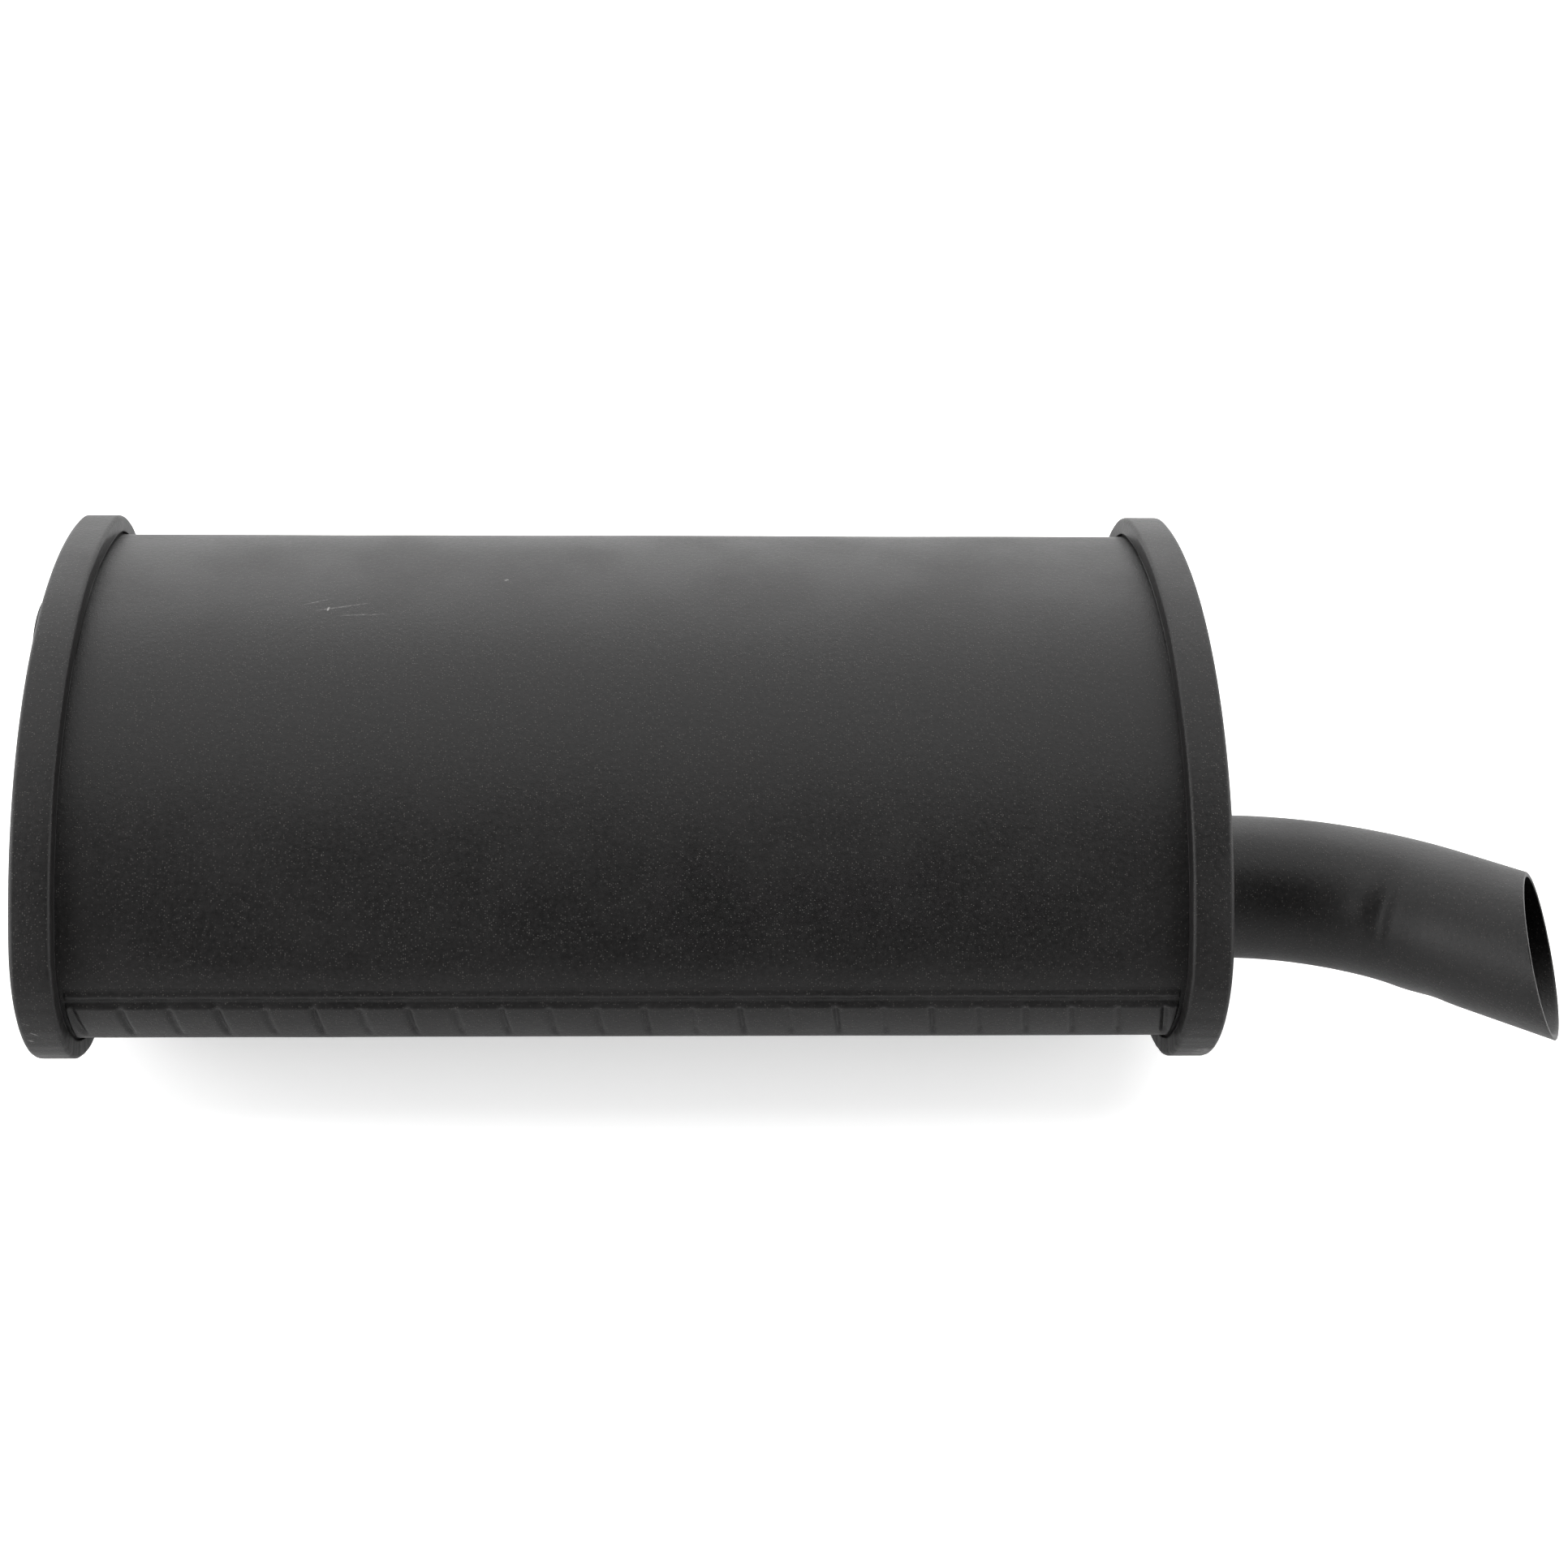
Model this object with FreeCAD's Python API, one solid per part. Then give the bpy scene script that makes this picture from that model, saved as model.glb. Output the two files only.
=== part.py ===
"""Oval exhaust silencer: wrapped sheet-steel body, crimped end caps, bent tail pipe, reverse-flow inside.

Frame: origin at the centre of the inlet socket's mouth, +X downstream along the body,
+Y across the oval's long way and away from the tail pipe's side, +Z up.
Sheet sections are drawn in (x, n): x from the front rim's outer face, n outwards from the body's surface.
"""
import FreeCAD, Part
import math
import os

V = FreeCAD.Vector
AXIS_X = V(1, 0, 0)

# ---- driving dimensions, millimetres and degrees ----
body_width = 200.2          # oval's long way, over the outer wrap
body_height = 116.6         # oval's short way, over the outer wrap
body_end_radius = 36.7      # radius of the oval's two tight ends
overall_length = 400.0      # outer face of one rim to outer face of the other

outer_sheet = 1.2           # outer wrap
inner_sheet = 0.8           # inner wrap
cap_sheet = 1.5             # pressed end caps
baffle_sheet = 1.2

rim_proud = 7.3             # rim band over the body's surface
rim_band = 14.0             # width of the band that is crimped back over the wrap
lip_gap = 1.3               # body's surface to the edge of the band's turned-down lip
foot_bend = 2.2             # inner face's bend radius where the wrap turns up inside the rim
hem_bend = 0.4              # inner bend radius of the tight folds in the rim
cap_recess = 32.0           # rim face down to the cap's dished panel
cap_corner = 5.5            # bend radius of the panel into its wall
panel_step = 5.0            # raised island on the cap's panel
island_inset = 16.0         # the island's edge, in from the panel's edge

seam_width_above = 20.0     # lock seam, degrees of the tight end above its middle line
seam_width_below = 14.0     # the same, below it
seam_proud = 1.5            # folded band over the body's surface
seam_gap = 1.1              # rim to the seam's cut end
ridge_angle = 24.5          # rolled edge above the folded band, degrees
ridge_radius = 1.3
ridge_proud = 0.8
stake_pitch = 15.8          # slanting stake marks along the lock seam
stake_radius = 1.6
stake_depth = 0.9
stake_slant = 17.0          # degrees
stake_angle = 2.0           # degrees below the middle line
stake_length = 22.0

inlet_offset = 46.5         # inlet axis from the body's middle
outlet_offset = 46.5        # tail pipe axis from the body's middle, the other way
inlet_stickout = 12.0       # socket mouth beyond the front rim's face
socket_bore = 50.6          # takes a 50 mm pipe
socket_depth = 42.0
socket_wall = 1.5
socket_grip = 15.0          # length gripped on the perforated tube
socket_taper = 4.0

inlet_tube_od = 48.6
tube_wall = 1.2
return_tube_od = 38.0
return_tube_rise = 26.0     # return tubes above and below the middle plane
neck_od = 32.0
neck_length = 45.0
tube_past_baffle = 14.0     # how far tubes reach past a baffle's face

front_chamber = 58.0        # front panel to first baffle
resonator_length = 61.0     # rear baffle to rear panel
rear_chamber = 56.0         # middle baffle to rear baffle
baffle_flange = 11.0
baffle_bend = 2.5
collar_length = 6.0
cap_collar = 8.0

perf_diameter = 5.0
perf_rows = 11
perf_around = 6             # drilled straight through, so twice as many holes
perf_margin = 12.0
steel_wool = 4.0            # thickness of the sleeve round a perforated tube
wrap_gap = 0.5              # inner wrap's end to the cap's panel

tail_od = 50.0
tail_wall = 1.5
tail_grip = 20.0            # length pushed over the outlet tube
tail_lead = 7.5             # straight stretch past the rear rim's face
tail_bend_radius = 97.5
tail_bend_angle = 44.6
tail_bend_tilt = 34.4       # the bend's plane, degrees up from level
tail_reach = 102.4          # rear rim's face to where the axis meets the slash cut
slash_yaw = -7.1            # direction the cut faces, degrees
slash_pitch = 29.8

weld_leg = 3.2
saddle_sheet = 2.0
saddle_length = 46.0
saddle_span = 40.0          # degrees of the far tight end that it covers
saddle_margin = 2.0         # degrees kept from where the tight end runs into the flat side
rod_diameter = 12.0
rod_standoff = 24.0         # saddle's face to the rod's axis
rod_bend = 14.0
rod_run = 48.0
rod_nose = 2.5              # chamfered end
hanger_inset = 82.0         # rim face to the saddle's middle

# ---- derived ----
centre = body_width / 2 - body_end_radius            # tight arc's centre from the middle
rise = body_height / 2 - body_end_radius
drop = (centre ** 2 - rise ** 2) / (2 * rise)        # flat arc's centre beyond the middle
flat_radius = body_height / 2 + drop
join = math.degrees(math.atan2(drop, centre))        # where tight and flat arcs meet
body_y = -inlet_offset
outlet_y = body_y - outlet_offset
x_front = inlet_stickout
x_rear = x_front + overall_length
skin = outer_sheet + inner_sheet
shoulder = rim_proud - cap_sheet                     # wrap's surface at the rim
x_front_panel = x_front + cap_recess + cap_sheet     # chamber side of the front panel
x_rear_panel = x_rear - cap_recess - cap_sheet
x_baffle_front = x_front_panel + front_chamber
chambers = front_chamber + rear_chamber + resonator_length
absorber_length = x_rear_panel - x_front_panel - chambers   # first baffle to middle baffle
x_baffle_middle = x_baffle_front + absorber_length
x_baffle_rear = x_baffle_middle + rear_chamber
tail_radius = tail_od / 2
outlet_tube_od = tail_od - 2 * tail_wall             # slips inside the tail pipe
rod_angle = join - saddle_margin - saddle_span / 2   # degrees below level
x_tail_start = x_baffle_rear - tube_past_baffle - tail_grip


def polar(radius, degrees, y=0.0):
    """Point in the cross plane, with y measured from the body's middle."""
    a = math.radians(degrees)
    return V(0, body_y + y + radius * math.cos(a), radius * math.sin(a))


def cylinder(radius, x0, x1, y, z=0.0):
    return Part.makeCylinder(radius, x1 - x0, V(x0, y, z), AXIS_X)


def tube(od, wall, x0, x1, y, z=0.0):
    return cylinder(od / 2, x0, x1, y, z).cut(cylinder(od / 2 - wall, x0, x1, y, z))


def joined(shapes):
    """One solid from pieces that share faces."""
    body = shapes[0].fuse(shapes[1:])
    return body.removeSplitter() if len(body.Solids) == 1 else body


def corner_points(points):
    """Start, middle and end of the arc at each corner of a closed (x, n, radius) outline."""
    arcs = []
    count = len(points)
    for i, (x, n, radius) in enumerate(points):
        here = V(x, n, 0)
        before = V(*points[i - 1][:2], 0)
        after = V(*points[(i + 1) % count][:2], 0)
        to_before = (before - here).normalize()
        to_after = (after - here).normalize()
        half = to_before.getAngle(to_after) / 2
        if radius <= 0 or half > math.radians(89.9):
            arcs.append((here, None, here))
            continue
        back = radius / math.tan(half)
        heart = here + (to_before + to_after).normalize() * (radius / math.sin(half))
        middle = heart + (here - heart).normalize() * radius
        arcs.append((here + to_before * back, middle, here + to_after * back))
    return arcs


def section(points):
    """Closed (x, n) wire from corners, each with its own radius."""
    arcs = corner_points(points)
    edges = []
    for i, (start, middle, end) in enumerate(arcs):
        if middle is not None:
            edges.append(Part.Arc(start, middle, end).toShape())
        following = arcs[(i + 1) % len(arcs)][0]
        if (following - end).Length > 1e-6:
            edges.append(Part.LineSegment(end, following).toShape())
    return Part.Wire(edges)


def offset_line(path, shift):
    """The path moved to its left by shift, bends kept concentric."""
    moved = []
    last = len(path) - 1
    for i, (x, n, radius) in enumerate(path):
        here = V(x, n, 0)
        came = (here - V(*path[i - 1][:2], 0)).normalize() if i else None
        goes = (V(*path[i + 1][:2], 0) - here).normalize() if i < last else None
        came = came or goes
        goes = goes or came
        left_in = V(-came.y, came.x, 0)
        left_out = V(-goes.y, goes.x, 0)
        mitre = (left_in + left_out).normalize()
        place = here + mitre * (shift / mitre.dot(left_in))
        turn = came.x * goes.y - came.y * goes.x
        bend = radius - shift if turn > 0 else radius + shift
        moved.append((place.x, place.y, max(bend, 0.0) if radius > 0 else 0.0))
    return moved


def sheet(path, thickness):
    """Outline of a bent sheet that lies to the left of a path of (x, n, bend radius)."""
    return section(path + offset_line(path, thickness)[::-1])


def ring(wire):
    """The section carried round the whole oval: four turned pieces that share their end faces."""
    arcs = ((centre, 0.0, body_end_radius, -join, 2 * join),
            (0.0, -drop, flat_radius, join, 180 - 2 * join),
            (-centre, 0.0, body_end_radius, 180 - join, 2 * join),
            (0.0, drop, flat_radius, 180 + join, 180 - 2 * join))
    pieces = []
    for y, z, radius, start, sweep in arcs:
        face = Part.Face(wire)
        face.translate(V(0, radius, 0))
        face.rotate(V(0, 0, 0), AXIS_X, start)
        heart = V(0, body_y + y, z)
        face.translate(heart)
        pieces.append(face.revolve(heart, AXIS_X, sweep))
    return joined(pieces)


def oval_wire(inset, x):
    """The oval's outline at x, inset from the body's surface."""
    tight = body_end_radius - inset
    flat = flat_radius - inset
    edges = []
    for y, z, radius, start, end in ((centre, 0.0, tight, -join, join),
                                     (0.0, -drop, flat, join, 180 - join),
                                     (-centre, 0.0, tight, 180 - join, 180 + join),
                                     (0.0, drop, flat, 180 + join, 360 - join)):
        marks = [polar(radius, a, y) + V(x, 0, z) for a in (start, (start + end) / 2, end)]
        edges.append(Part.Arc(*marks).toShape())
    return Part.Wire(edges)


def oval_block(inset, x0, x1):
    return Part.Face(oval_wire(inset, x0)).extrude(V(x1 - x0, 0, 0))


def mirrored(shape):
    """The same piece at the other end of the body."""
    return shape.mirror(V((x_front + x_rear) / 2, 0, 0), AXIS_X)


def upturn_path():
    """Wrap's inner face where it turns up behind the band's lip and back towards the rim's face."""
    x = x_front + rim_band - cap_sheet - outer_sheet
    return [(x, -outer_sheet, foot_bend), (x, shoulder - outer_sheet, hem_bend)]


# ---- casing ----

def outer_shell():
    """Outer wrap: turned up inside both rims, closed by a staked lock seam on its tight end."""
    inside = outer_sheet
    edge = x_front + cap_sheet + hem_bend
    middle = (x_front + x_rear) / 2
    front = [(middle, -inside, 0)] + upturn_path() + [(edge, shoulder - inside, 0)]
    rear = [(2 * middle - x, n, r) for x, n, r in front[:0:-1]]
    wrap = ring(sheet(rear + front[1:], -outer_sheet))
    return wrap.fuse(seam_ridge()).fuse(seam_band())


def seam_span():
    """The lock seam runs from rim to rim."""
    stop = rim_band + seam_gap
    return x_front + stop, x_rear - stop


def seam_sector(inner, outer, start, sweep, x0, x1):
    """Strip of the tight end on the tail pipe's side, by angle above and below its middle line."""
    heart = V(0, body_y - centre, 0)
    strip = section([(x0, inner, 0), (x1, inner, 0), (x1, outer, 0), (x0, outer, 0)])
    face = Part.Face(strip)
    face.rotate(V(0, 0, 0), AXIS_X, start)
    face.translate(heart)
    return face.revolve(heart, AXIS_X, sweep)


def seam_band():
    """Folded sheets of the lock seam, with a slanting stake mark at each pitch."""
    x0, x1 = seam_span()
    bottom = body_end_radius - outer_sheet / 2
    top = body_end_radius + seam_proud
    start = 180 - seam_width_above
    band = seam_sector(bottom, top, start, seam_width_above + seam_width_below, x0, x1)
    count = int((x1 - x0) / stake_pitch) + 1
    first = (x0 + x1) / 2 - (count - 1) * stake_pitch / 2
    return band.cut([stake_mark(first + i * stake_pitch) for i in range(count)])


def stake_mark(x):
    """Round-bottomed groove across the seam."""
    angle = 180 + stake_angle
    radius = body_end_radius + seam_proud - stake_depth + stake_radius
    base = polar(radius, angle, -centre) + V(x, 0, 0)
    slant = math.radians(stake_slant)
    down = V(0, -math.sin(math.radians(angle)), math.cos(math.radians(angle))) * -1.0
    along = V(math.sin(slant), 0, 0) - down * math.cos(slant)
    return Part.makeCylinder(stake_radius, stake_length, base - along * (stake_length / 2), along)


def seam_ridge():
    """Rolled edge that stands above the folded band."""
    x0, x1 = seam_span()
    place = polar(body_end_radius + ridge_proud - ridge_radius, 180 - ridge_angle, -centre)
    roll = Part.makeCylinder(ridge_radius, x1 - x0, place + V(x0, 0, 0), AXIS_X)
    sweep = ridge_angle - seam_width_above + 6.0
    keep = seam_sector(body_end_radius - outer_sheet / 2, body_end_radius + seam_proud,
                       180 - ridge_angle - 6.0, sweep, x0, x1)
    return roll.common(keep)


def inner_shell():
    """Inner wrap, between the two caps' panels."""
    x0 = x_front_panel + wrap_gap
    x1 = x_rear_panel - wrap_gap
    return ring(section([(x0, -skin, 0), (x1, -skin, 0), (x1, -outer_sheet, 0), (x0, -outer_sheet, 0)]))


def cap_shell():
    """Front cap without its pipe hole: island, panel, wall inside the wrap, rim's band and turned-down lip."""
    inside = outer_sheet
    panel_edge = inside + island_inset
    island = (x_front_panel - panel_step, -panel_edge, cap_sheet)
    path = [(x_front_panel - panel_step, -panel_edge - 2 * cap_sheet, 0),
            island,
            (x_front_panel, -panel_edge + panel_step, cap_sheet),
            (x_front_panel, -inside, cap_corner)]
    lip = x_front + rim_band - cap_sheet
    path += upturn_path()
    path += [(x_front + cap_sheet, shoulder - inside, hem_bend),
             (x_front + cap_sheet, shoulder, hem_bend),
             (lip, shoulder, hem_bend),
             (lip, lip_gap, 0)]
    border = ring(sheet(path, cap_sheet))
    plate = oval_block(panel_edge + 2 * cap_sheet, x_front_panel - panel_step - cap_sheet,
                       x_front_panel - panel_step)
    return joined([border, plate])


def cap_with_hole(shape, od, y, outwards, x_face):
    """Cap with a pipe hole drawn out into a collar, away from the chamber."""
    tip = x_face + outwards * (cap_sheet + cap_collar)
    x0, x1 = min(x_face, tip), max(x_face, tip)
    solid = shape.fuse(cylinder(od / 2 + cap_sheet, x0, x1, y))
    return solid.cut(cylinder(od / 2, x0 - cap_collar, x1 + cap_collar, y)).removeSplitter()


def front_end_cap():
    return cap_with_hole(cap_shell(), socket_bore + 2 * socket_wall, body_y + inlet_offset, -1,
                         x_front_panel - panel_step)


def rear_end_cap():
    return cap_with_hole(mirrored(cap_shell()), tail_od, outlet_y, 1, x_rear_panel + panel_step)


# ---- inside ----

def baffle(x, facing, holes):
    """Pressed plate with a flange that fits the inner wrap, and a collar round each tube hole.

    facing is +1 when flange and collars point downstream. holes are (diameter, y, z).
    """
    thick = baffle_sheet * facing
    outline = section([(x, -skin - 2 * baffle_bend, 0), (x + thick, -skin - 2 * baffle_bend, 0),
                       (x + thick, -skin - baffle_sheet, baffle_bend - baffle_sheet),
                       (x + facing * baffle_flange, -skin - baffle_sheet, 0),
                       (x + facing * baffle_flange, -skin, 0), (x, -skin, baffle_bend)])
    plate = joined([ring(outline), oval_block(skin + 2 * baffle_bend, min(x, x + thick), max(x, x + thick))])
    reach = x + facing * (baffle_sheet + collar_length)
    x0, x1 = min(x, reach), max(x, reach)
    collars = [cylinder(od / 2 + baffle_sheet, x0, x1, y, z) for od, y, z in holes]
    bores = [cylinder(od / 2, x0 - 1, x1 + 1, y, z) for od, y, z in holes]
    return plate.fuse(collars).cut(bores)


def through_holes():
    """The four tubes that cross the absorber chamber."""
    return [(inlet_tube_od, body_y + inlet_offset, 0.0), (outlet_tube_od, outlet_y, 0.0),
            (return_tube_od, body_y, return_tube_rise), (return_tube_od, body_y, -return_tube_rise)]


def neck_y():
    return body_y + inlet_offset


def baffle_front():
    return baffle(x_baffle_front, -1, through_holes())


def baffle_middle():
    return baffle(x_baffle_middle, 1, through_holes())


def baffle_rear():
    return baffle(x_baffle_rear, 1, [(tail_od, outlet_y, 0.0), (neck_od, neck_y(), 0.0)])


def perforated(od, x0, x1, y):
    """Tube with rows of holes inside the absorber chamber."""
    first = x_baffle_front + perf_margin
    pitch = (absorber_length - 2 * perf_margin) / (perf_rows - 1)
    drills = []
    for row in range(perf_rows):
        stagger = 0.5 * (row % 2)
        for i in range(perf_around):
            angle = math.radians(180 * (i + stagger) / perf_around)
            across = V(0, math.cos(angle), math.sin(angle))
            base = V(first + row * pitch, y, 0) - across * od
            drills.append(Part.makeCylinder(perf_diameter / 2, 2 * od, base, across))
    return tube(od, tube_wall, x0, x1, y).cut(drills)


def inlet_socket():
    """Slip joint: a bore for the pipe, then a neck shrunk on to the perforated tube."""
    y = body_y + inlet_offset
    wide = socket_bore / 2
    narrow = inlet_tube_od / 2
    taper_end = socket_depth + socket_taper
    end = taper_end + socket_grip
    inner = [(0, wide), (socket_depth, wide), (taper_end, narrow), (end, narrow)]
    outer = [(x, r + socket_wall) for x, r in inner]
    points = [V(x, y + r, 0) for x, r in inner + outer[::-1]]
    face = Part.Face(Part.makePolygon(points + points[:1]))
    return face.revolve(V(0, y, 0), AXIS_X, 360)


def inlet_perforated_tube():
    start = socket_depth + socket_taper
    return perforated(inlet_tube_od, start, x_baffle_middle + baffle_sheet + tube_past_baffle,
                      body_y + inlet_offset)


def outlet_perforated_tube():
    return perforated(outlet_tube_od, x_baffle_front - tube_past_baffle, x_tail_start + tail_grip, outlet_y)


def steel_wool_sleeve(od, y):
    return tube(od + 2 * steel_wool, steel_wool, x_baffle_front, x_baffle_middle, y)


def return_tube(z):
    return tube(return_tube_od, tube_wall, x_baffle_front - tube_past_baffle,
                x_baffle_middle + tube_past_baffle, body_y, z)


def resonator_neck():
    start = x_baffle_rear - tube_past_baffle
    return tube(neck_od, tube_wall, start, start + neck_length, neck_y())


def wool_packing():
    """Glass wool that fills the absorber chamber round the tubes."""
    block = oval_block(skin, x_baffle_front, x_baffle_middle)
    x0, x1 = x_baffle_front - 1, x_baffle_middle + 1
    spaces = []
    for od, y, z in through_holes():
        sleeved = 0.0 if od == return_tube_od else steel_wool
        spaces.append(cylinder(od / 2 + sleeved, x0, x1, y, z))
    return block.cut(spaces)


# ---- tail pipe ----

def tail_axis():
    """Bend start, bend centre, sideways direction, and the bend plane's normal."""
    tilt = math.radians(tail_bend_tilt)
    sideways = V(0, -math.cos(tilt), math.sin(tilt))
    start = V(x_rear + tail_lead, outlet_y, 0)
    heart = start + sideways * tail_bend_radius
    return start, heart, sideways, AXIS_X.cross(sideways)


def tail_exit():
    """Where the bend ends, and the direction the pipe leaves it in."""
    start, heart, sideways, normal = tail_axis()
    angle = math.radians(tail_bend_angle)
    direction = AXIS_X * math.cos(angle) + sideways * math.sin(angle)
    place = heart + (AXIS_X * math.sin(angle) - sideways * math.cos(angle)) * tail_bend_radius
    return place, direction


def slash_block(point, depth):
    """Block that covers everything past the slash cut."""
    yaw = math.radians(slash_yaw)
    pitch = math.radians(slash_pitch)
    facing = V(math.cos(pitch) * math.cos(yaw), math.cos(pitch) * math.sin(yaw), math.sin(pitch))
    return Part.makeCylinder(depth, depth, point, facing)


def tail_pipe():
    start, heart, sideways, normal = tail_axis()
    place, direction = tail_exit()
    rings = []
    for radius in (tail_radius, tail_radius - tail_wall):
        rings.append(Part.Wire(Part.makeCircle(radius, V(x_tail_start, outlet_y, 0), AXIS_X)))
    annulus = Part.makeFace(rings, "Part::FaceMakerBullseye")
    straight = annulus.extrude(V(start.x - x_tail_start, 0, 0))
    annulus.translate(V(start.x - x_tail_start, 0, 0))
    bend = annulus.revolve(heart, normal, tail_bend_angle)
    annulus.rotate(heart, normal, tail_bend_angle)
    cut_x = x_rear + tail_reach
    leg = (cut_x - place.x) / direction.x
    last = annulus.extrude(direction * (leg + 2 * tail_od))
    cut_point = place + direction * leg
    return joined([straight, bend, last]).cut(slash_block(cut_point, 6 * tail_od))


def ring_weld(radius, x, outwards, y):
    """Fillet bead with a rounded face, between a pipe and the end of its collar."""
    points = [V(x, y + radius, 0), V(x, y + radius + weld_leg, 0), V(x + outwards * weld_leg, y + radius, 0)]
    bulge = V(x + outwards * weld_leg * 0.62, y + radius + weld_leg * 0.62, 0)
    wire = Part.Wire([Part.LineSegment(points[0], points[1]).toShape(),
                      Part.Arc(points[1], bulge, points[2]).toShape(),
                      Part.LineSegment(points[2], points[0]).toShape()])
    return Part.Face(wire).revolve(V(0, y, 0), AXIS_X, 360)


def inlet_weld():
    face = x_front_panel - panel_step - cap_sheet - cap_collar
    return ring_weld(socket_bore / 2 + socket_wall, face, -1, body_y + inlet_offset)


def tail_weld():
    face = x_rear_panel + panel_step + cap_sheet + cap_collar
    return ring_weld(tail_radius, face, 1, outlet_y)


# ---- hangers ----

def hanger_axis():
    """Heart of the far tight end, and the direction the hanger rod stands out in."""
    out = math.radians(-rod_angle)
    return V(0, body_y + centre, 0), V(0, math.cos(out), math.sin(out))


def hanger_saddle(x):
    """Curved plate that lies on the wrap."""
    heart, out = hanger_axis()
    half = saddle_length / 2
    inner = body_end_radius
    outer = inner + saddle_sheet
    corners = [(x - half, inner, 0), (x + half, inner, 0), (x + half, outer, 0), (x - half, outer, 0)]
    face = Part.Face(section(corners))
    face.rotate(V(0, 0, 0), AXIS_X, -rod_angle - saddle_span / 2)
    face.translate(heart)
    return face.revolve(heart, AXIS_X, saddle_span)


def saddle_face(x):
    """Cylinder under the saddle's outer face."""
    heart, out = hanger_axis()
    return Part.makeCylinder(body_end_radius + saddle_sheet, 2 * saddle_length,
                             heart + V(x - saddle_length, 0, 0), AXIS_X)


def hanger_rod(x, along):
    """Bent rod: a leg coped on to the saddle, then a straight run, the way along points, for a rubber block."""
    heart, out = hanger_axis()
    radius = rod_diameter / 2
    level = body_end_radius + saddle_sheet + rod_standoff
    foot = heart + V(x, 0, 0) + out * body_end_radius
    leg_length = level - body_end_radius - rod_bend
    disc = Part.Face(Part.Wire(Part.makeCircle(radius, foot, out)))
    leg = disc.extrude(out * leg_length)
    disc.translate(out * leg_length)
    turn = foot + out * leg_length + along * rod_bend
    axis = along.cross(out) * -1.0
    elbow = disc.revolve(turn, axis, 90)
    begin = turn + out * rod_bend
    run = Part.makeCylinder(radius, rod_run, begin, along)
    end = begin + along * rod_run
    nose = Part.makeCone(radius, radius - rod_nose / 2, rod_nose, end, along)
    return joined([leg, elbow, run, nose]).cut(saddle_face(x))


def hanger_weld(x):
    """Bead round the rod's foot."""
    heart, out = hanger_axis()
    seat = heart + V(x, 0, 0) + out * (body_end_radius + saddle_sheet)
    bead = Part.makeTorus(rod_diameter / 2 + weld_leg * 0.3, weld_leg, seat, out)
    core = Part.makeCylinder(rod_diameter / 2, 4 * weld_leg, seat - out * (2 * weld_leg), out)
    return bead.cut(core).cut(saddle_face(x))


def nodes():
    front_hanger = x_front + hanger_inset
    rear_hanger = x_rear - hanger_inset
    return {
        "outer_shell": outer_shell(),
        "inner_shell": inner_shell(),
        "front_end_cap": front_end_cap(),
        "rear_end_cap": rear_end_cap(),
        "baffle_front": baffle_front(),
        "baffle_middle": baffle_middle(),
        "baffle_rear": baffle_rear(),
        "inlet_socket": inlet_socket(),
        "inlet_weld": inlet_weld(),
        "inlet_perforated_tube": inlet_perforated_tube(),
        "inlet_steel_wool": steel_wool_sleeve(inlet_tube_od, body_y + inlet_offset),
        "outlet_perforated_tube": outlet_perforated_tube(),
        "outlet_steel_wool": steel_wool_sleeve(outlet_tube_od, outlet_y),
        "return_tube_upper": return_tube(return_tube_rise),
        "return_tube_lower": return_tube(-return_tube_rise),
        "resonator_neck": resonator_neck(),
        "wool_packing": wool_packing(),
        "tail_pipe": tail_pipe(),
        "tail_weld": tail_weld(),
        "front_hanger_saddle": hanger_saddle(front_hanger),
        "rear_hanger_saddle": hanger_saddle(rear_hanger),
        "front_hanger_rod": hanger_rod(front_hanger, -AXIS_X),
        "rear_hanger_rod": hanger_rod(rear_hanger, AXIS_X),
        "front_hanger_weld": hanger_weld(front_hanger),
        "rear_hanger_weld": hanger_weld(rear_hanger),
    }


os.makedirs("parts", exist_ok=True)
for name, shape in nodes().items():
    print(name, len(shape.Solids), shape.isValid(), round(shape.Volume / 1000, 2), "cm3", shape.BoundBox)
    shape.exportStep(f"parts/{name}.step")
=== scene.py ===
"""Oval exhaust silencer: the visible sheet metal, its paint, and a plain studio, built round the CAD frame."""
import math

import bpy
import numpy as np
from mathutils import Matrix, Vector


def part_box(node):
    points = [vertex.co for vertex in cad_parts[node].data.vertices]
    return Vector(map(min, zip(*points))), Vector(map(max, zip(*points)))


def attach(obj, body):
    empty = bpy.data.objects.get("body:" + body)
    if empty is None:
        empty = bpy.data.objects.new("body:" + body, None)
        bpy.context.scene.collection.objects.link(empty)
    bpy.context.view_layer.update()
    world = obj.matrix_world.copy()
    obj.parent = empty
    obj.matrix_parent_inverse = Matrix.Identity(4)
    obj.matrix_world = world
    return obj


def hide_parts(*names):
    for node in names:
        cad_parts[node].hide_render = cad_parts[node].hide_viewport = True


bl_info = {
    "name": "Oval exhaust silencer",
    "version": (1, 0, 0),
    "blender": (4, 5, 0),
    "location": "3D View > Sidebar > Silencer",
    "description": "Wrapped body, lock seam, crimped rims, tail pipe and welds round the CAD frame",
    "category": "Object",
}

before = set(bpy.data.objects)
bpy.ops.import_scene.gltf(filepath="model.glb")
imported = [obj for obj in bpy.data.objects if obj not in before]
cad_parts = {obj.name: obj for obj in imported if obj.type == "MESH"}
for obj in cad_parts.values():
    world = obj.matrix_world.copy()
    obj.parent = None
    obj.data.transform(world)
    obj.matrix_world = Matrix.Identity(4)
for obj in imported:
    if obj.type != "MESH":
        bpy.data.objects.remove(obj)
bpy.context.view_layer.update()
MM = 0.001
BODY = "root"


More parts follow.
